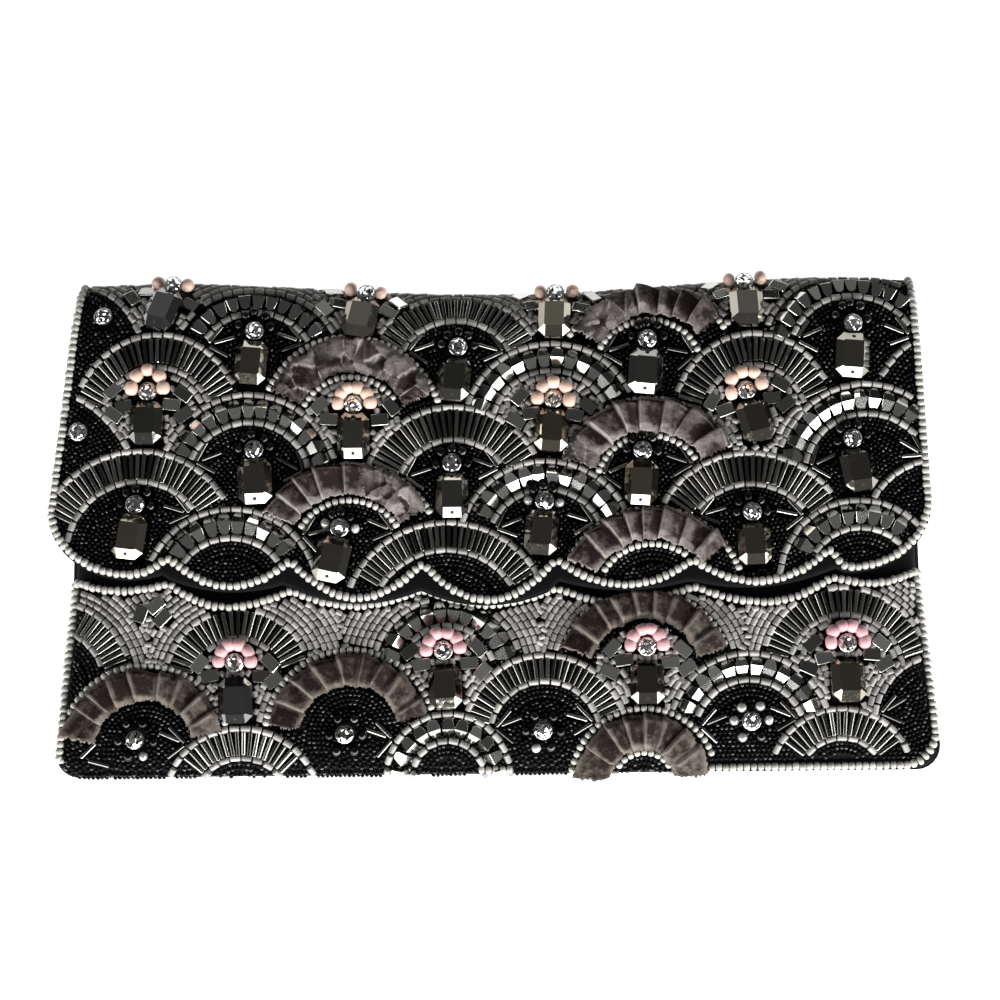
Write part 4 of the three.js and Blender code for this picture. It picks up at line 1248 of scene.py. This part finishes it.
def crystal_finish():
    """Clear facets over foil: every small cell mirrors its own way."""
    material, tree, shader = finish(
        "clear_crystal", base_color=(0.68, 0.7, 0.69, 1), roughness=0.05, metallic=1.0
    )
    place = node(tree, "TexCoord", {}).outputs["Object"]
    cells = node(tree, "TexVoronoi", {"Vector": place, "Scale": 1050}).outputs["Color"]
    spread = {0: cells, 1: (1.5, 1.4, 0), 2: (-0.75, -0.56, 0)}
    lean = node(tree, "VectorMath", spread, operation="MULTIPLY_ADD")
    face = node(tree, "NewGeometry", {}).outputs["Normal"]
    turned = node(tree, "VectorMath", {0: face, 1: lean.outputs[0]})
    even = node(tree, "VectorMath", {0: turned.outputs[0]}, operation="NORMALIZE")
    tree.links.new(even.outputs[0], shader.inputs["Normal"])
    return material


# User sizes and colours


def length_property(name, description, default):
    return FloatProperty(
        name=name, description=description, default=default, min=0.0001, unit="LENGTH", precision=4
    )


def colour_property(name, description, default):
    return FloatVectorProperty(
        name=name, description=description, default=default, size=3, min=0, max=1, subtype="COLOR"
    )


class ClutchSizes(bpy.types.PropertyGroup):
    grey_length: length_property("Grey bead length", "Length of a grey tube bead", 0.003)
    grey_width: length_property("Grey bead width", "Width of a grey tube bead", 0.002)
    bugle_width: length_property("Bugle width", "Width of a bugle bead", 0.0016)
    seed_width: length_property("Black seed width", "Width of a black seed bead", 0.00142)
    ivory_width: length_property("Ivory seed width", "Width of an ivory seed bead", 0.0027)
    ivory_pitch: length_property("Ivory seed pitch", "Distance between ivory seeds on a string", 0.00215)
    velvet_width: length_property("Velvet width", "Cut width of the velvet ribbon", 0.0115)
    velvet_thickness: length_property("Velvet thickness", "Thickness of the velvet ribbon", 0.0005)


class ClutchColours(bpy.types.PropertyGroup):
    satin: colour_property("Satin", "Colour of the satin", (0.005, 0.005, 0.0055))
    grey: colour_property("Grey beads", "Colour of the grey tube beads", (0.28, 0.27, 0.256))
    ivory: colour_property("Ivory beads", "Colour of the ivory seed beads", (0.48, 0.47, 0.43))
    black: colour_property("Black seeds", "Colour of the black seed beads", (0.004, 0.004, 0.0045))
    glass: colour_property("Bugles", "Colour of the bugle and round glass beads", (0.18, 0.177, 0.168))
    metal: colour_property("Cut beads", "Colour of the cut and flat metal beads", (0.46, 0.46, 0.44))
    stone: colour_property("Stones", "Colour of the sewn stones", (0.31, 0.285, 0.22))
    peach: colour_property("Flap petals", "Colour of the pink petals on the flap", (0.72, 0.5, 0.4))
    pink: colour_property("Pouch petals", "Colour of the pink petals on the pouch", (0.68, 0.39, 0.41))
    taupe: colour_property("Flap velvet", "Colour of the velvet on the flap", (0.032, 0.0215, 0.0225))
    brown: colour_property("Pouch velvet", "Colour of the velvet on the pouch", (0.023, 0.016, 0.0142))


class ClutchStage(bpy.types.PropertyGroup):
    distance: length_property("Camera distance", "From the camera to the clutch", 0.7)
    tilt: FloatProperty(
        name="Camera tilt",
        description="Camera lean from straight above",
        default=math.radians(10),
        subtype="ANGLE",
    )
    lens: FloatProperty(name="Lens", description="Focal length", default=81.14, unit="CAMERA")
    key: FloatProperty(
        name="Front light", description="Strength of the front soft box in watts", default=150.0, min=0
    )
    fill: FloatProperty(
        name="Fill light", description="Strength of the surrounding light", default=0.1, min=0
    )


# Pieces


def grid_piece(name, points, thickness, finish_used, attribute=None):
    """A sheet through a grid of places, thickened inwards, with one value for each place if given."""
    columns, rows = (n - 1 for n in points.shape[:2])
    bm = bmesh.new()
    bmesh.ops.create_grid(bm, x_segments=columns, y_segments=rows, size=1)
    bm.verts.ensure_lookup_table()
    layer = bm.verts.layers.float.new(attribute[0]) if attribute else None
    for v in bm.verts:
        place = round((v.co.x + 1) / 2 * columns), round((v.co.y + 1) / 2 * rows)
        v.co = points[place] * MM
        if attribute:
            v[layer] = attribute[1][place]
    bm.normal_update()
    area = sum(f.calc_area() for f in bm.faces)
    inward = [(v, v.normal * thickness) for v in bm.verts]
    bmesh.ops.extrude_face_region(bm, geom=bm.faces[:], use_keep_orig=True)
    for v, offset in inward:
        v.co -= offset
    bmesh.ops.recalc_face_normals(bm, faces=bm.faces)
    for f in bm.faces:
        f.smooth = True
    return placed(name, mesh_from(bm, name, finish_used)), area


def grid_of(columns, rows):
    return np.meshgrid(np.arange(columns + 1), np.arange(rows + 1), indexing="ij")


class ClutchOperator(bpy.types.Operator):
    """Shared settings of the clutch operators."""

    bl_options = {"REGISTER", "UNDO"}

    @property
    def sizes(self):
        return bpy.context.scene.clutch_sizes

    @property
    def colours(self):
        return bpy.context.scene.clutch_colours


class CLUTCH_OT_satin(ClutchOperator):
    """Sews the satin back panel, front panel and flap"""

    bl_idname = "clutch.satin"
    bl_label = "Satin Pouch and Flap"

    def execute(self, context):
        satin = satin_finish(self.colours.satin)
        self.back_panel(satin)
        self.front_panel(satin)
        self.flap(satin)
        return {"FINISHED"}

    def back_panel(self, satin):
        turns = [math.radians(a) for a in range(0, 91, 15)]
        low = BACK_HALF_WIDTH + flare(BACK_BOTTOM_Y + BACK_CORNER) - BACK_CORNER
        corner = [
            (low + BACK_CORNER * math.sin(t), BACK_BOTTOM_Y + BACK_CORNER * (1 - math.cos(t))) for t in turns
        ]
        right = corner + [(BACK_HALF_WIDTH, FLARE_FROM_Y)]
        across = BODY_X + BACK_HALF_WIDTH * np.linspace(1, -1, 41)
        seam = flap_point(across, SEAM_Q, 0)[:, 1] - GAP
        outline = [(BODY_X + x, y) for x, y in right] + list(zip(across, seam))
        outline += [(BODY_X - x, y) for x, y in reversed(right)]
        bm = bmesh.new()
        loft(bm, [(outline, 0), (outline, CLOTH)])
        bevel(bm, [e for e in bm.edges if rise(e) < LEVEL], 0.7, 3)
        bmesh.ops.recalc_face_normals(bm, faces=bm.faces)
        bmesh.ops.scale(bm, vec=(MM, MM, MM), verts=bm.verts)
        piece = placed("back_satin", mesh_from(bm, "back_satin", satin))
        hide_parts("back_panel")

    def front_panel(self, satin):
        columns, rows = 110, 60
        col, row = grid_of(columns, rows)
        u = np.sin(math.pi * (col / columns - 0.5))
        v = 1 - np.cos(math.pi / 2 * row / rows)
        y = FRONT_BOTTOM_Y + (FRONT_MOUTH_Y - FRONT_BOTTOM_Y) * v
        x = BODY_X + u * front_half(y)
        points = np.stack([x, y, front_height(x, y)], -1)
        piece, area = grid_piece("front_satin", points, FRONT_CLOTH * MM, satin)
        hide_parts("front_panel")

    def flap(self, satin):
        columns, rows = 160, 96
        edge_rows, edge_part = 40, 0.36
        near_edge = np.linspace(0, 1, edge_rows + 1)[:-1] * edge_part
        stations = np.concatenate([near_edge, np.linspace(edge_part, 1, rows + 1 - edge_rows)])
        col, row = grid_of(columns, rows)
        sweep = np.sin(math.pi * (col / columns - 0.5))
        u = 0.55 * np.sin(math.pi / 2 * sweep) + 0.45 * sweep
        edge = cloth_edge_y((FLAP_X[0] + u * FLAP_HALF[0]).ravel()).reshape(u.shape)
        q = edge + (SEAM_Q - edge) * stations[row]
        height = -0.55 * np.exp(-(((q - edge) / 0.5) ** 2))
        points = flap_point(flap_centre(q) + u * flap_half(q), q, height)
        piece, area = grid_piece("flap_satin", points, FLAP_CLOTH * MM, satin)
        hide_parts("flap")


class CLUTCH_OT_edge_strings(ClutchOperator):
    """Strings ivory seed beads along the flap's scallops and the pouch's edges"""

    bl_idname = "clutch.edge_strings"
    bl_label = "Edge Strings"

    # A line's height is the mean of its heights this far to either side.
    softening = (-1.2, -0.6, 0, 0.6, 1.2)

    def execute(self, context):
        self.string("flap", "flap_edge_beads", [self.flap_line()], "flap_edge_string")
        self.string("pouch", "pouch_edge_beads", self.pouch_lines(), "pouch_edge_string")
        return {"FINISHED"}

    def across(self, line, centre, half, count):
        """A scalloped line from side to side, with its cusps softened as a thread softens them."""
        x = centre + half * np.sin(math.pi * (np.arange(count + 1) / count - 0.5))
        near = [line(np.clip(x + s, centre - half, centre + half)) for s in self.softening]
        return x, np.mean(near, 0)

    def flap_line(self):
        x, y = self.across(bead_line_y, FLAP_X[0], FLAP_HALF[0] - STRING_INSET, 600)
        side_q = np.linspace(FOLD_TIP_Q + 2, CORNER_SIDE_Y, 60)
        sides = [flap_centre(side_q) + sign * (flap_half(side_q) - STRING_INSET) for sign in (-1, 1)]
        return np.concatenate([sides[0], x, sides[1][::-1]]), np.concatenate([side_q, y, side_q[::-1]])

    def pouch_lines(self):
        half, low = FRONT_HALF_WIDTH - STRING_INSET, FRONT_BOTTOM_Y + STRING_INSET
        bend = FRONT_CORNER + 1
        x, y = self.across(pouch_line_y, BODY_X, half, 500)
        left = np.linspace(LEFT_STRING_Y, float(y[0]), 60)
        right = np.linspace(float(y[-1]), low + bend, 60)
        turn = np.linspace(0, math.pi / 2, 20)
        corner_x = BODY_X + half + flare(low + bend) - bend + bend * np.cos(turn)
        corner_y = low + bend - bend * np.sin(turn)
        bottom = np.linspace(float(corner_x[-1]), WHITE_BOTTOM[0][0], 40)
        sides = BODY_X - half - flare(left), BODY_X + half + flare(right)
        main = (
            np.concatenate([sides[0], x, sides[1], corner_x, bottom]),
            np.concatenate([left, y, right, corner_y, np.full(40, low)]),
        )
        middle = np.linspace(*WHITE_BOTTOM[1], 20)
        return [main, (middle, np.full(20, low))]

    def string(self, surface, name, lines, node):
        random = np.random.default_rng(STRING_SEEDS[surface])
        pitch = self.sizes.ivory_pitch / MM
        made = []
        for x, q in lines:
            points = SURFACES[surface](x, q, STRING_HEIGHT)
            run = np.concatenate([[0], np.cumsum(np.linalg.norm(np.diff(points, axis=0), axis=1))])
            at = np.arange(pitch / 2, run[-1], pitch)
            middle, ahead, behind = (
                np.stack([np.interp(at + step, run, v) for v in points.T], -1) for step in (0, 0.6, -0.6)
            )
            ax = unit(ahead - behind)
            *_, out = axes_on(surface, np.interp(at, run, x), np.interp(at, run, q), STRING_HEIGHT)
            ay = unit(np.cross(out, ax))
            az = np.cross(ax, ay)
            origin = middle + ay * random.uniform(-0.16, 0.16, (len(at), 1))
            size = random.uniform(0.86, 1.08, (len(at), 3, 1))
            made.append(np.concatenate([origin[:, None], np.stack([ax, ay, az], 1) * size], 1))
        tones = shades(self.colours.ivory, 0.88, 1.06)
        ivory = toned("ivory_beads", *tones, roughness=0.3, specular_ior_level=0.5)
        bead = shape(seed_shape, pitch * 0.98, self.sizes.ivory_width / MM, 10, 7, 2.6)
        piece = joined(name, bead, np.concatenate(made), [ivory], random)
        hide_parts(node)


class CLUTCH_OT_stones(ClutchOperator):
    """Sews the step-cut stones and the round crystals above them"""

    bl_idname = "clutch.stones"
    bl_label = "Stones and Crystals"

    def execute(self, context):
        stone, crystal = stone_finish(self.colours.stone), crystal_finish()
        # Near black: painted shade inside each sewing hole.
        hole, *_ = finish("sewing_hole", base_color=level_grey(0.004), roughness=0.8)
        cup, *_ = finish("crystal_cup", base_color=level_grey(0.35), roughness=0.25, metallic=0.9)
        for surface, plan in both_layouts():
            random = np.random.default_rng(STONE_SEED)
            stones, tops = self.places(surface, plan.motifs, random)
            piece = joined(f"{surface}_stones", shape(stone_shape), stones, [stone, hole], random)
            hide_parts(*(f"stone_{m.row}{m.col}" for m in plan.motifs))
            tops = np.concatenate([tops, plan.of("crystal")])
            piece = joined(f"{surface}_crystals", shape(crystal_shape), tops, [crystal, cup], random)
            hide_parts(*(n for n, entry in LONE_CRYSTALS.items() if surface_of(entry[0]) == surface))
        return {"FINISHED"}

    def places(self, surface, motifs, random):
        """Places of the stones, a little uneven, and of the crystals above them, each at its own turn."""
        count = len(motifs)
        place = [np.array([getattr(m, key) for m in motifs]) for key in ("x", "y", "lean")]
        tip, roll = 0.05 * random.uniform(-1, 1, (2, count))
        lift = np.array([LIFTED.get(f"{m.row}{m.col}", 0) for m in motifs])
        size = random.uniform((0.94, 0.97, 1), (1.01, 1.01, 1), (count, 3))
        stones = frames(surface, *place, TRIM_BASE, tip=tip, roll=roll - lift, size=size)
        tops = frames(surface, *place, TRIM_BASE)
        ax, ay = tops[:, 1].copy(), tops[:, 2].copy()
        turn = random.uniform(0, math.pi, count)[:, None]
        tops[:, 0] += np.array([CRYSTAL_STEP[m.row] for m in motifs])[:, None] * ay
        tops[:, 1] = ax * np.cos(turn) + ay * np.sin(turn)
        tops[:, 2] = ay * np.cos(turn) - ax * np.sin(turn)
        return stones, tops


class CLUTCH_OT_petals(ClutchOperator):
    """Sews the pink beads that ring the crystals"""

    bl_idname = "clutch.petals"
    bl_label = "Pink Petals"

    def execute(self, context):
        petal = shape(seed_shape, PETAL_LENGTH, PETAL_WIDTH, 14, 9, 2.6)
        for (surface, plan), colour in zip(both_layouts(), (self.colours.peach, self.colours.pink)):
            tones = shades(colour, 0.86, 1.12)
            pink = toned(f"{surface}_pink", *tones, roughness=0.3, specular_ior_level=0.4)
            random = np.random.default_rng(PETAL_SEED)
            piece = joined(f"{surface}_petals", petal, plan.of("pink"), [pink], random)
            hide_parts(*(f"petals_{m.row}{m.col}" for m in plan.motifs if m.petals))
        return {"FINISHED"}


class CLUTCH_OT_fans(ClutchOperator):
    """Sews the bugles, the cut and flat beads and the round beads of the fans"""

    bl_idname = "clutch.fans"
    bl_label = "Fan Beads"

    def execute(self, context):
        glass, metal = self.colours.glass, self.colours.metal
        bugle = toned("bugle_glass", *shades(glass, 0.35, 2.2), roughness=0.18, metallic=1.0)
        cut = toned("cut_metal", *shades(metal, 0.8, 1.2), roughness=0.1, metallic=1.0)
        flat = toned("flat_metal", *shades(metal, 0.4, 1.6), roughness=0.2, metallic=1.0)
        dark = toned("round_glass", *shades(glass, 0.12, 0.36), roughness=0.2, metallic=1.0)
        silver = toned("silver_glass", (0.4, 0.4, 0.38), (0.9, 0.89, 0.85), roughness=0.2, metallic=0.5)
        kinds = (
            ("bugles", "bugle", shape(tube_shape, BUGLE_LENGTH, self.sizes.bugle_width / MM, 10, 0.1), bugle),
            ("cut_beads", "cut", shape(cut_shape, CUT_LENGTH, CUT_WIDTH, CUT_HEIGHT), cut),
            ("flat_beads", "flat", shape(flat_shape, FLAT_LENGTH, FLAT_WIDTH, FLAT_HEIGHT), flat),
            ("round_beads", "round", shape(seed_shape, ROUND_WIDTH, ROUND_WIDTH, 10, 7), dark),
            ("silver_beads", "silver", shape(seed_shape, SILVER_WIDTH, SILVER_WIDTH, 10, 7), silver),
        )
        for surface, plan in both_layouts():
            for label, kind, made, used in kinds:
                places = plan.of(kind)
                if len(places):
                    # The length of its label seeds a kind's tones.
                    random = np.random.default_rng(len(label))
                    piece = joined(f"{surface}_{label}", made, places, [used], random)
        return {"FINISHED"}


class CLUTCH_OT_paving(ClutchOperator):
    """Sews the grey tube beads, the ivory lines beside the velvet and the black seed fields"""

    bl_idname = "clutch.paving"
    bl_label = "Paved Beads"

    def execute(self, context):
        grey, black, ivory = self.colours.grey, self.colours.black, self.colours.ivory
        tube_glass = toned("grey_beads", *shades(grey, 0.65, 1.45), roughness=0.4, specular_ior_level=0.6)
        jet = glinting(toned("black_seeds", *shades(black, 1, 1.5), roughness=0.07), from_tone=0.6)
        # A lighter copy of the ivory: painted light that makes up for the velvet's shade on these lines.
        line = toned("ivory_line", *shades(ivory, 0.95, 1.25), roughness=0.32)
        seed_width = self.sizes.seed_width / MM
        tube = shape(tube_shape, self.sizes.grey_length / MM, self.sizes.grey_width / MM, 8, 0.16)
        seed = shape(seed_shape, seed_width * 0.9, seed_width, 7, 4)
        round_seed = shape(seed_shape, LINE_LENGTH, LINE_WIDTH, 8, 5, 2.4)
        for surface, plan in both_layouts():
            random = np.random.default_rng(PAVING_SEED)
            piece = joined(f"{surface}_grey_beads", tube, plan.of("grey"), [tube_glass], random)
            piece = joined(f"{surface}_ivory_lines", round_seed, plan.of("ivory"), [line], random)
            piece = joined(f"{surface}_black_seeds", seed, plan.of("black"), [jet], random)
            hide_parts("flap_beading" if surface == "flap" else "front_beading")
        return {"FINISHED"}


class CLUTCH_OT_velvet(ClutchOperator):
    """Pleats the velvet ribbons and lays them round their scallops"""

    bl_idname = "clutch.velvet"
    bl_label = "Velvet Ribbons"

    # Steps along a pleat and across the ribbon.
    samples, across = 18, 24
    # Height of a pleat along its run, and how uneven the pleats are.
    pleat_t = (0.0, 0.06, 0.2, 0.45, 0.7, 0.92, 1.0)
    pleat_h = (1.5, 2.7, 2.6, 2.2, 1.6, 0.9, 0.5)
    unevenness = {"flap": 0.34, "pouch": 0.28}
    # Raggedness of the long edges and of the ends.
    torn_edge, torn_end = 0.3, 1.4
    # Area of a patch of crumpled velvet.
    patch = 22
    # Range of the pile's paleness, with its painted sheen and painted shade.
    nap_range = (-0.1, 0.6)
    # Palest colour of the pile: its cut edges, and the painted sheen of creases and rims.
    pale = {"flap": (0.32, 0.292, 0.272), "pouch": (0.215, 0.19, 0.162)}

    def execute(self, context):
        darks = {"flap": self.colours.taupe, "pouch": self.colours.brown}
        self.finishes = {
            name: velvet_finish(f"{name}_velvet", dark, self.pale[name]) for name, dark in darks.items()
        }
        for number, entry in enumerate(RUFFLES):
            self.ribbon(np.random.default_rng(VELVET_SEED + number), *entry)
        return {"FINISHED"}

    def ribbon(self, random, row, col, dx, dy, inner, outer, start, end, pleats):
        surface = surface_of(row)
        x0, y0 = lattice(row, col, dx, dy)
        column, line = grid_of(pleats * self.samples, self.across)
        s = line / self.across
        k = np.minimum(column // self.samples, pleats - 1)
        t = (column - k * self.samples) / self.samples
        share, lift = self.pleated(random, k, t, s, pleats, self.unevenness[surface])
        # Paleness of the pile: its own tones and cut edges, with painted sheen and painted shade.
        nap = (self.soft_nap if surface == "flap" else self.dark_nap)(random, k, t, s)
        part = CRUMPLED.get(f"{row}{col}")
        if part:
            length = math.radians(end - start) * (inner + outer) / 2
            folds, crumple_tone_and_highlight = self.crumpled(random, share * length, s * (outer - inner), length, outer - inner)
            begun, ended = (smoothstep(share, edge - 0.03, edge + 0.03) for edge in part)
            weight = begun * (1 - ended)
            lift, nap = lift + (folds - lift) * weight, nap + (crumple_tone_and_highlight - nap) * weight
        lift = np.maximum(lift, 0.15) * (0.25 + 0.75 * smoothstep(s, 0.02, 0.22) * smoothstep(1 - s, 0, 0.16))
        ripple = random.uniform(-0.5, 0.5, (pleats + 2, 2))
        fringe = [ripple[k, e] + (ripple[k + 1, e] - ripple[k, e]) * t for e in (0, 1)]
        step = random.uniform(0.4, 1.0, (2, pleats))[:, k] * (0.5 - np.clip(t, 0.06, 1)) * 0.8
        near, far = fringe[0] + step[0], fringe[1] + 1.7 * step[1]
        reach = inner + (outer - inner) * s + near * (1 - s) + far * s
        torn = random.uniform(-self.torn_edge, self.torn_edge, (2, pleats * self.samples + 1))[:, column]
        reach += np.where(line == 0, torn[0], 0) + np.where(line == self.across, torn[1], 0)
        first, last = math.radians(start), math.radians(end)
        if surface == "pouch":
            most = np.arccos(np.clip((FRONT_BOTTOM_Y - 0.9 - y0) / reach, -1, 1))
            first, last = np.maximum(first, -most), np.minimum(last, most)
        torn = random.uniform(0, self.torn_end, (2, self.across + 1))[:, line] / reach
        turn = first + (last - first) * share
        turn += torn[0] * (1 - smoothstep(share, 0, 0.03)) - torn[1] * smoothstep(share, 0.97, 1)
        points = ribbon_point(surface, *around(x0, y0, reach, turn), VELVET_BASE + lift)
        name = f"{surface}_velvet_{row}{col}"
        thickness = self.sizes.velvet_thickness
        piece, area = grid_piece(name, points, thickness, self.finishes[surface], ("nap", nap))
        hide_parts(f"ruffle_{row}{col}")

    def pleated(self, random, k, t, s, pleats, spread):
        """Share of the ribbon's run and height of each place: every pleat drops under the next."""
        bounds = np.concatenate([[0], np.cumsum(random.uniform(1 - spread, 1 + spread, pleats))])
        bounds = bounds / bounds[-1]
        lean = random.uniform(-1, 1, pleats + 1) * spread * 0.9
        lean[0] = lean[-1] = 0
        tall = random.uniform(1 - spread, 1 + spread, pleats)
        tilt = lean[k] + (lean[k + 1] - lean[k]) * t
        share = bounds[k] + (bounds[k + 1] - bounds[k]) * t + tilt * (s - 0.5) / pleats
        return share, np.interp(t, self.pleat_t, self.pleat_h) * tall[k]

    def crumpled(self, random, along, across, length, width):
        """Height and paleness of cloth pressed down by hand: flat patches of random tone, a painted highlight
        where a higher one meets another.
        """
        count = round(length * width / self.patch)
        middles = random.uniform((0, 0), (length, width), (count, 2))
        place = np.stack([along, across], -1)
        away = np.linalg.norm((place[..., None, :] - middles) * (1, 0.75), axis=-1)
        first, second = np.moveaxis(np.argsort(away, axis=-1)[..., :2], -1, 0)
        apart = np.take_along_axis(away, second[..., None], -1)[..., 0] - away.min(-1)
        slope = random.uniform(-0.4, 0.4, (count, 2))
        rise = random.uniform(0.7, 2.3, count)
        lift = rise[first] + np.sum((place - middles[first]) * slope[first], -1)
        # Painted highlight along the edge of the higher patch.
        line = 0.5 * np.exp(-((apart / 0.45) ** 2)) * (rise[first] > rise[second])
        return lift, np.maximum(random.uniform(0, 0.42, count)[first], line)

    def dark_nap(self, random, k, t, s):
        """Paleness of the pouch's pile: each pleat a dark patch in a rim of fray and painted sheen, with a
        painted-sheen crease.
        """
        pleats = int(k.max()) + 1
        shift = random.uniform(-0.07, 0.07, (2, pleats))[:, k]
        away = np.maximum(np.abs(t - 0.54 - shift[0]) / 0.46, np.abs(s - 0.52 - shift[1]) / 0.5)
        # Paler rim: partly the frayed cut edge, partly painted sheen.
        rim = 0.27 * smoothstep(away, 0.62, 0.95)
        # Painted sheen along the crease.
        crease = 0.4 * np.exp(-(((t - 0.05) / 0.05) ** 2))
        # Painted shade where the pleat drops under the next.
        shade = -0.3 * smoothstep(t, 0.88, 1)
        tone = random.uniform(-0.04, 0.1, pleats)[k]
        return np.clip(np.maximum(rim, crease) + shade + tone, *self.nap_range)

    def soft_nap(self, random, k, t, s):
        """Paleness of the flap's pile: painted sheen at the crease, panels darkening away from it in painted
        shade, thin pale hems.
        """
        pleats = int(k.max()) + 1
        turn = random.uniform(0.3, 0.6, pleats)[k] + random.uniform(-0.5, 0.5, pleats)[k] * (s - 0.5)
        # Painted shade: each panel darkens away from the painted sheen of its crease.
        panel = 0.21 - 0.3 * smoothstep(t, turn - 0.25, turn + 0.2) * smoothstep(s, 0.05, 0.3)
        # Painted sheen along the crease.
        crease = 0.5 * np.exp(-(((t - 1 / self.samples) / 0.04) ** 2))
        hem = random.integers(self.across - 3, self.across, pleats)[k] / self.across
        line = 0.5 * np.exp(-(((s - hem) / 0.03) ** 2))
        fringe = 0.4 * (1 - smoothstep(s, 0.02, 0.1))
        # Painted shade where the pleat drops under the next.
        shade = -0.25 * smoothstep(t, 0.86, 1)
        tone = random.uniform(-0.1, 0.1, pleats)[k]
        return np.clip(np.maximum.reduce([panel, crease, line, fringe]) + shade + tone, *self.nap_range)


class CLUTCH_OT_snap(ClutchOperator):
    """Gives the hidden snap its plain metal finish"""

    bl_idname = "clutch.snap"
    bl_label = "Snap"

    def execute(self, context):
        metal, tree, _ = finish(
            "snap_steel", base_color=(0.26, 0.25, 0.24, 1), roughness=0.3, metallic=0.9
        )
        bump_from(tree, noise_in(tree, 1500), strength=0.1, distance=0.0001)
        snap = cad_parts["magnet_snap"]
        snap.data.materials.clear()
        snap.data.materials.append(metal)
        return {"FINISHED"}


class CLUTCH_OT_stage(ClutchOperator):
    """Adds the floor, the soft light and the camera"""

    bl_idname = "clutch.stage"
    bl_label = "Floor, Light and Camera"

    aim = (0.0026, 0.006, 0.014)
    roll = math.radians(-0.6)
    sensor = 36
    floor_half = 40
    lit_point = Vector((0, 0, 0.01))
    # Shares of the fill light that come from the front and from behind.
    fill_shares = (2.1, 0.1)
    # Place and size in metres, and share of the key light.
    soft_boxes = {
        "front_box": ((0.2, -2.3, 0.88), (3.4, 1.05), 0.9),
        "left_box": ((-2.5, -1.5, 1.0), (2.2, 1.1), 0.34),
        "right_box": ((2.6, -1.5, 1.0), (2.2, 1.1), 0.52),
        "back_box": ((0.2, 2.0, 1.7), (3.6, 1.4), 0.022),
    }

    def execute(self, context):
        scene = context.scene
        scene.view_settings.view_transform = "Standard"
        self.floor()
        self.lights(scene)
        self.camera(scene)
        return {"FINISHED"}

    def floor(self):
        white, *_ = finish(
            "white_floor",
            base_color=level_grey(0.92),
            roughness=0.9,
            specular_ior_level=0.1,
            emission_color=level_grey(1),
            emission_strength=0.95,
        )
        bm = bmesh.new()
        bmesh.ops.create_grid(bm, x_segments=1, y_segments=1, size=self.floor_half)
        linked("floor", mesh_from(bm, "floor", white))

    def soft_box(self, name, place, size, power):
        light = bpy.data.lights.new(name, "AREA")
        light.shape = "RECTANGLE"
        light.size, light.size_y = size
        light.energy = power
        made = linked(name, light)
        made.location = place
        made.rotation_mode = "QUATERNION"
        made.rotation_quaternion = (Vector(place) - self.lit_point).to_track_quat("Z", "Y")

    def lights(self, scene):
        stage = scene.clutch_stage
        world = bpy.data.worlds.new("studio")
        world.use_nodes = True
        tree = world.node_tree
        background = tree.nodes["Background"]
        background.inputs["Color"].default_value = level_grey(1)
        place = node(tree, "TexCoord", {}).outputs["Generated"]
        axes = node(tree, "SeparateXYZ", {0: place})
        front, behind = (share * stage.fill for share in self.fill_shares)
        inputs = {"Value": axes.outputs["Y"], "From Min": -1, "To Min": front, "To Max": behind}
        fade = node(tree, "MapRange", inputs)
        tree.links.new(fade.outputs["Result"], background.inputs["Strength"])
        scene.world = world
        for name, (spot, size, share) in self.soft_boxes.items():
            self.soft_box(name, spot, size, stage.key * share)

    def camera(self, scene):
        stage = scene.clutch_stage
        back = Vector((0, -math.sin(stage.tilt), math.cos(stage.tilt)))
        right = Vector((1, 0, 0))
        up = back.cross(right)
        c, s = math.cos(self.roll), math.sin(self.roll)
        axes = Matrix((c * right + s * up, c * up - s * right, back)).transposed()
        data = bpy.data.cameras.new("camera")
        data.lens = stage.lens
        data.sensor_width = self.sensor
        made = linked("camera", data)
        made.matrix_world = Matrix.Translation(Vector(self.aim) + back * stage.distance) @ axes.to_4x4()
        scene.camera = made


OPERATORS = (
    CLUTCH_OT_satin,
    CLUTCH_OT_edge_strings,
    CLUTCH_OT_stones,
    CLUTCH_OT_petals,
    CLUTCH_OT_fans,
    CLUTCH_OT_paving,
    CLUTCH_OT_velvet,
    CLUTCH_OT_snap,
    CLUTCH_OT_stage,
)


class CLUTCH_PT_panel(bpy.types.Panel):
    """Builds the clutch piece by piece"""

    bl_idname = "CLUTCH_PT_panel"
    bl_label = "Beaded Clutch"
    bl_space_type = "VIEW_3D"
    bl_region_type = "UI"
    bl_category = "Clutch"

    def draw(self, context):
        for setting in SETTINGS:
            group = getattr(context.scene, setting)
            box = self.layout.box()
            for name in group.__annotations__:
                box.prop(group, name)
        for operator in OPERATORS:
            self.layout.operator(operator.bl_idname)


SETTINGS = {"clutch_sizes": ClutchSizes, "clutch_colours": ClutchColours, "clutch_stage": ClutchStage}
CLASSES = (*SETTINGS.values(), *OPERATORS, CLUTCH_PT_panel)


def register():
    for cls in CLASSES:
        bpy.utils.register_class(cls)
    for setting, group in SETTINGS.items():
        setattr(bpy.types.Scene, setting, PointerProperty(type=group))


def unregister():
    for setting in reversed(SETTINGS):
        delattr(bpy.types.Scene, setting)
    for cls in reversed(CLASSES):
        bpy.utils.unregister_class(cls)


def main():
    register()
    for operator in OPERATORS:
        group, name = operator.bl_idname.split(".")
        getattr(getattr(bpy.ops, group), name)()
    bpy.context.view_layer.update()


if __name__ == "__main__":
    main()
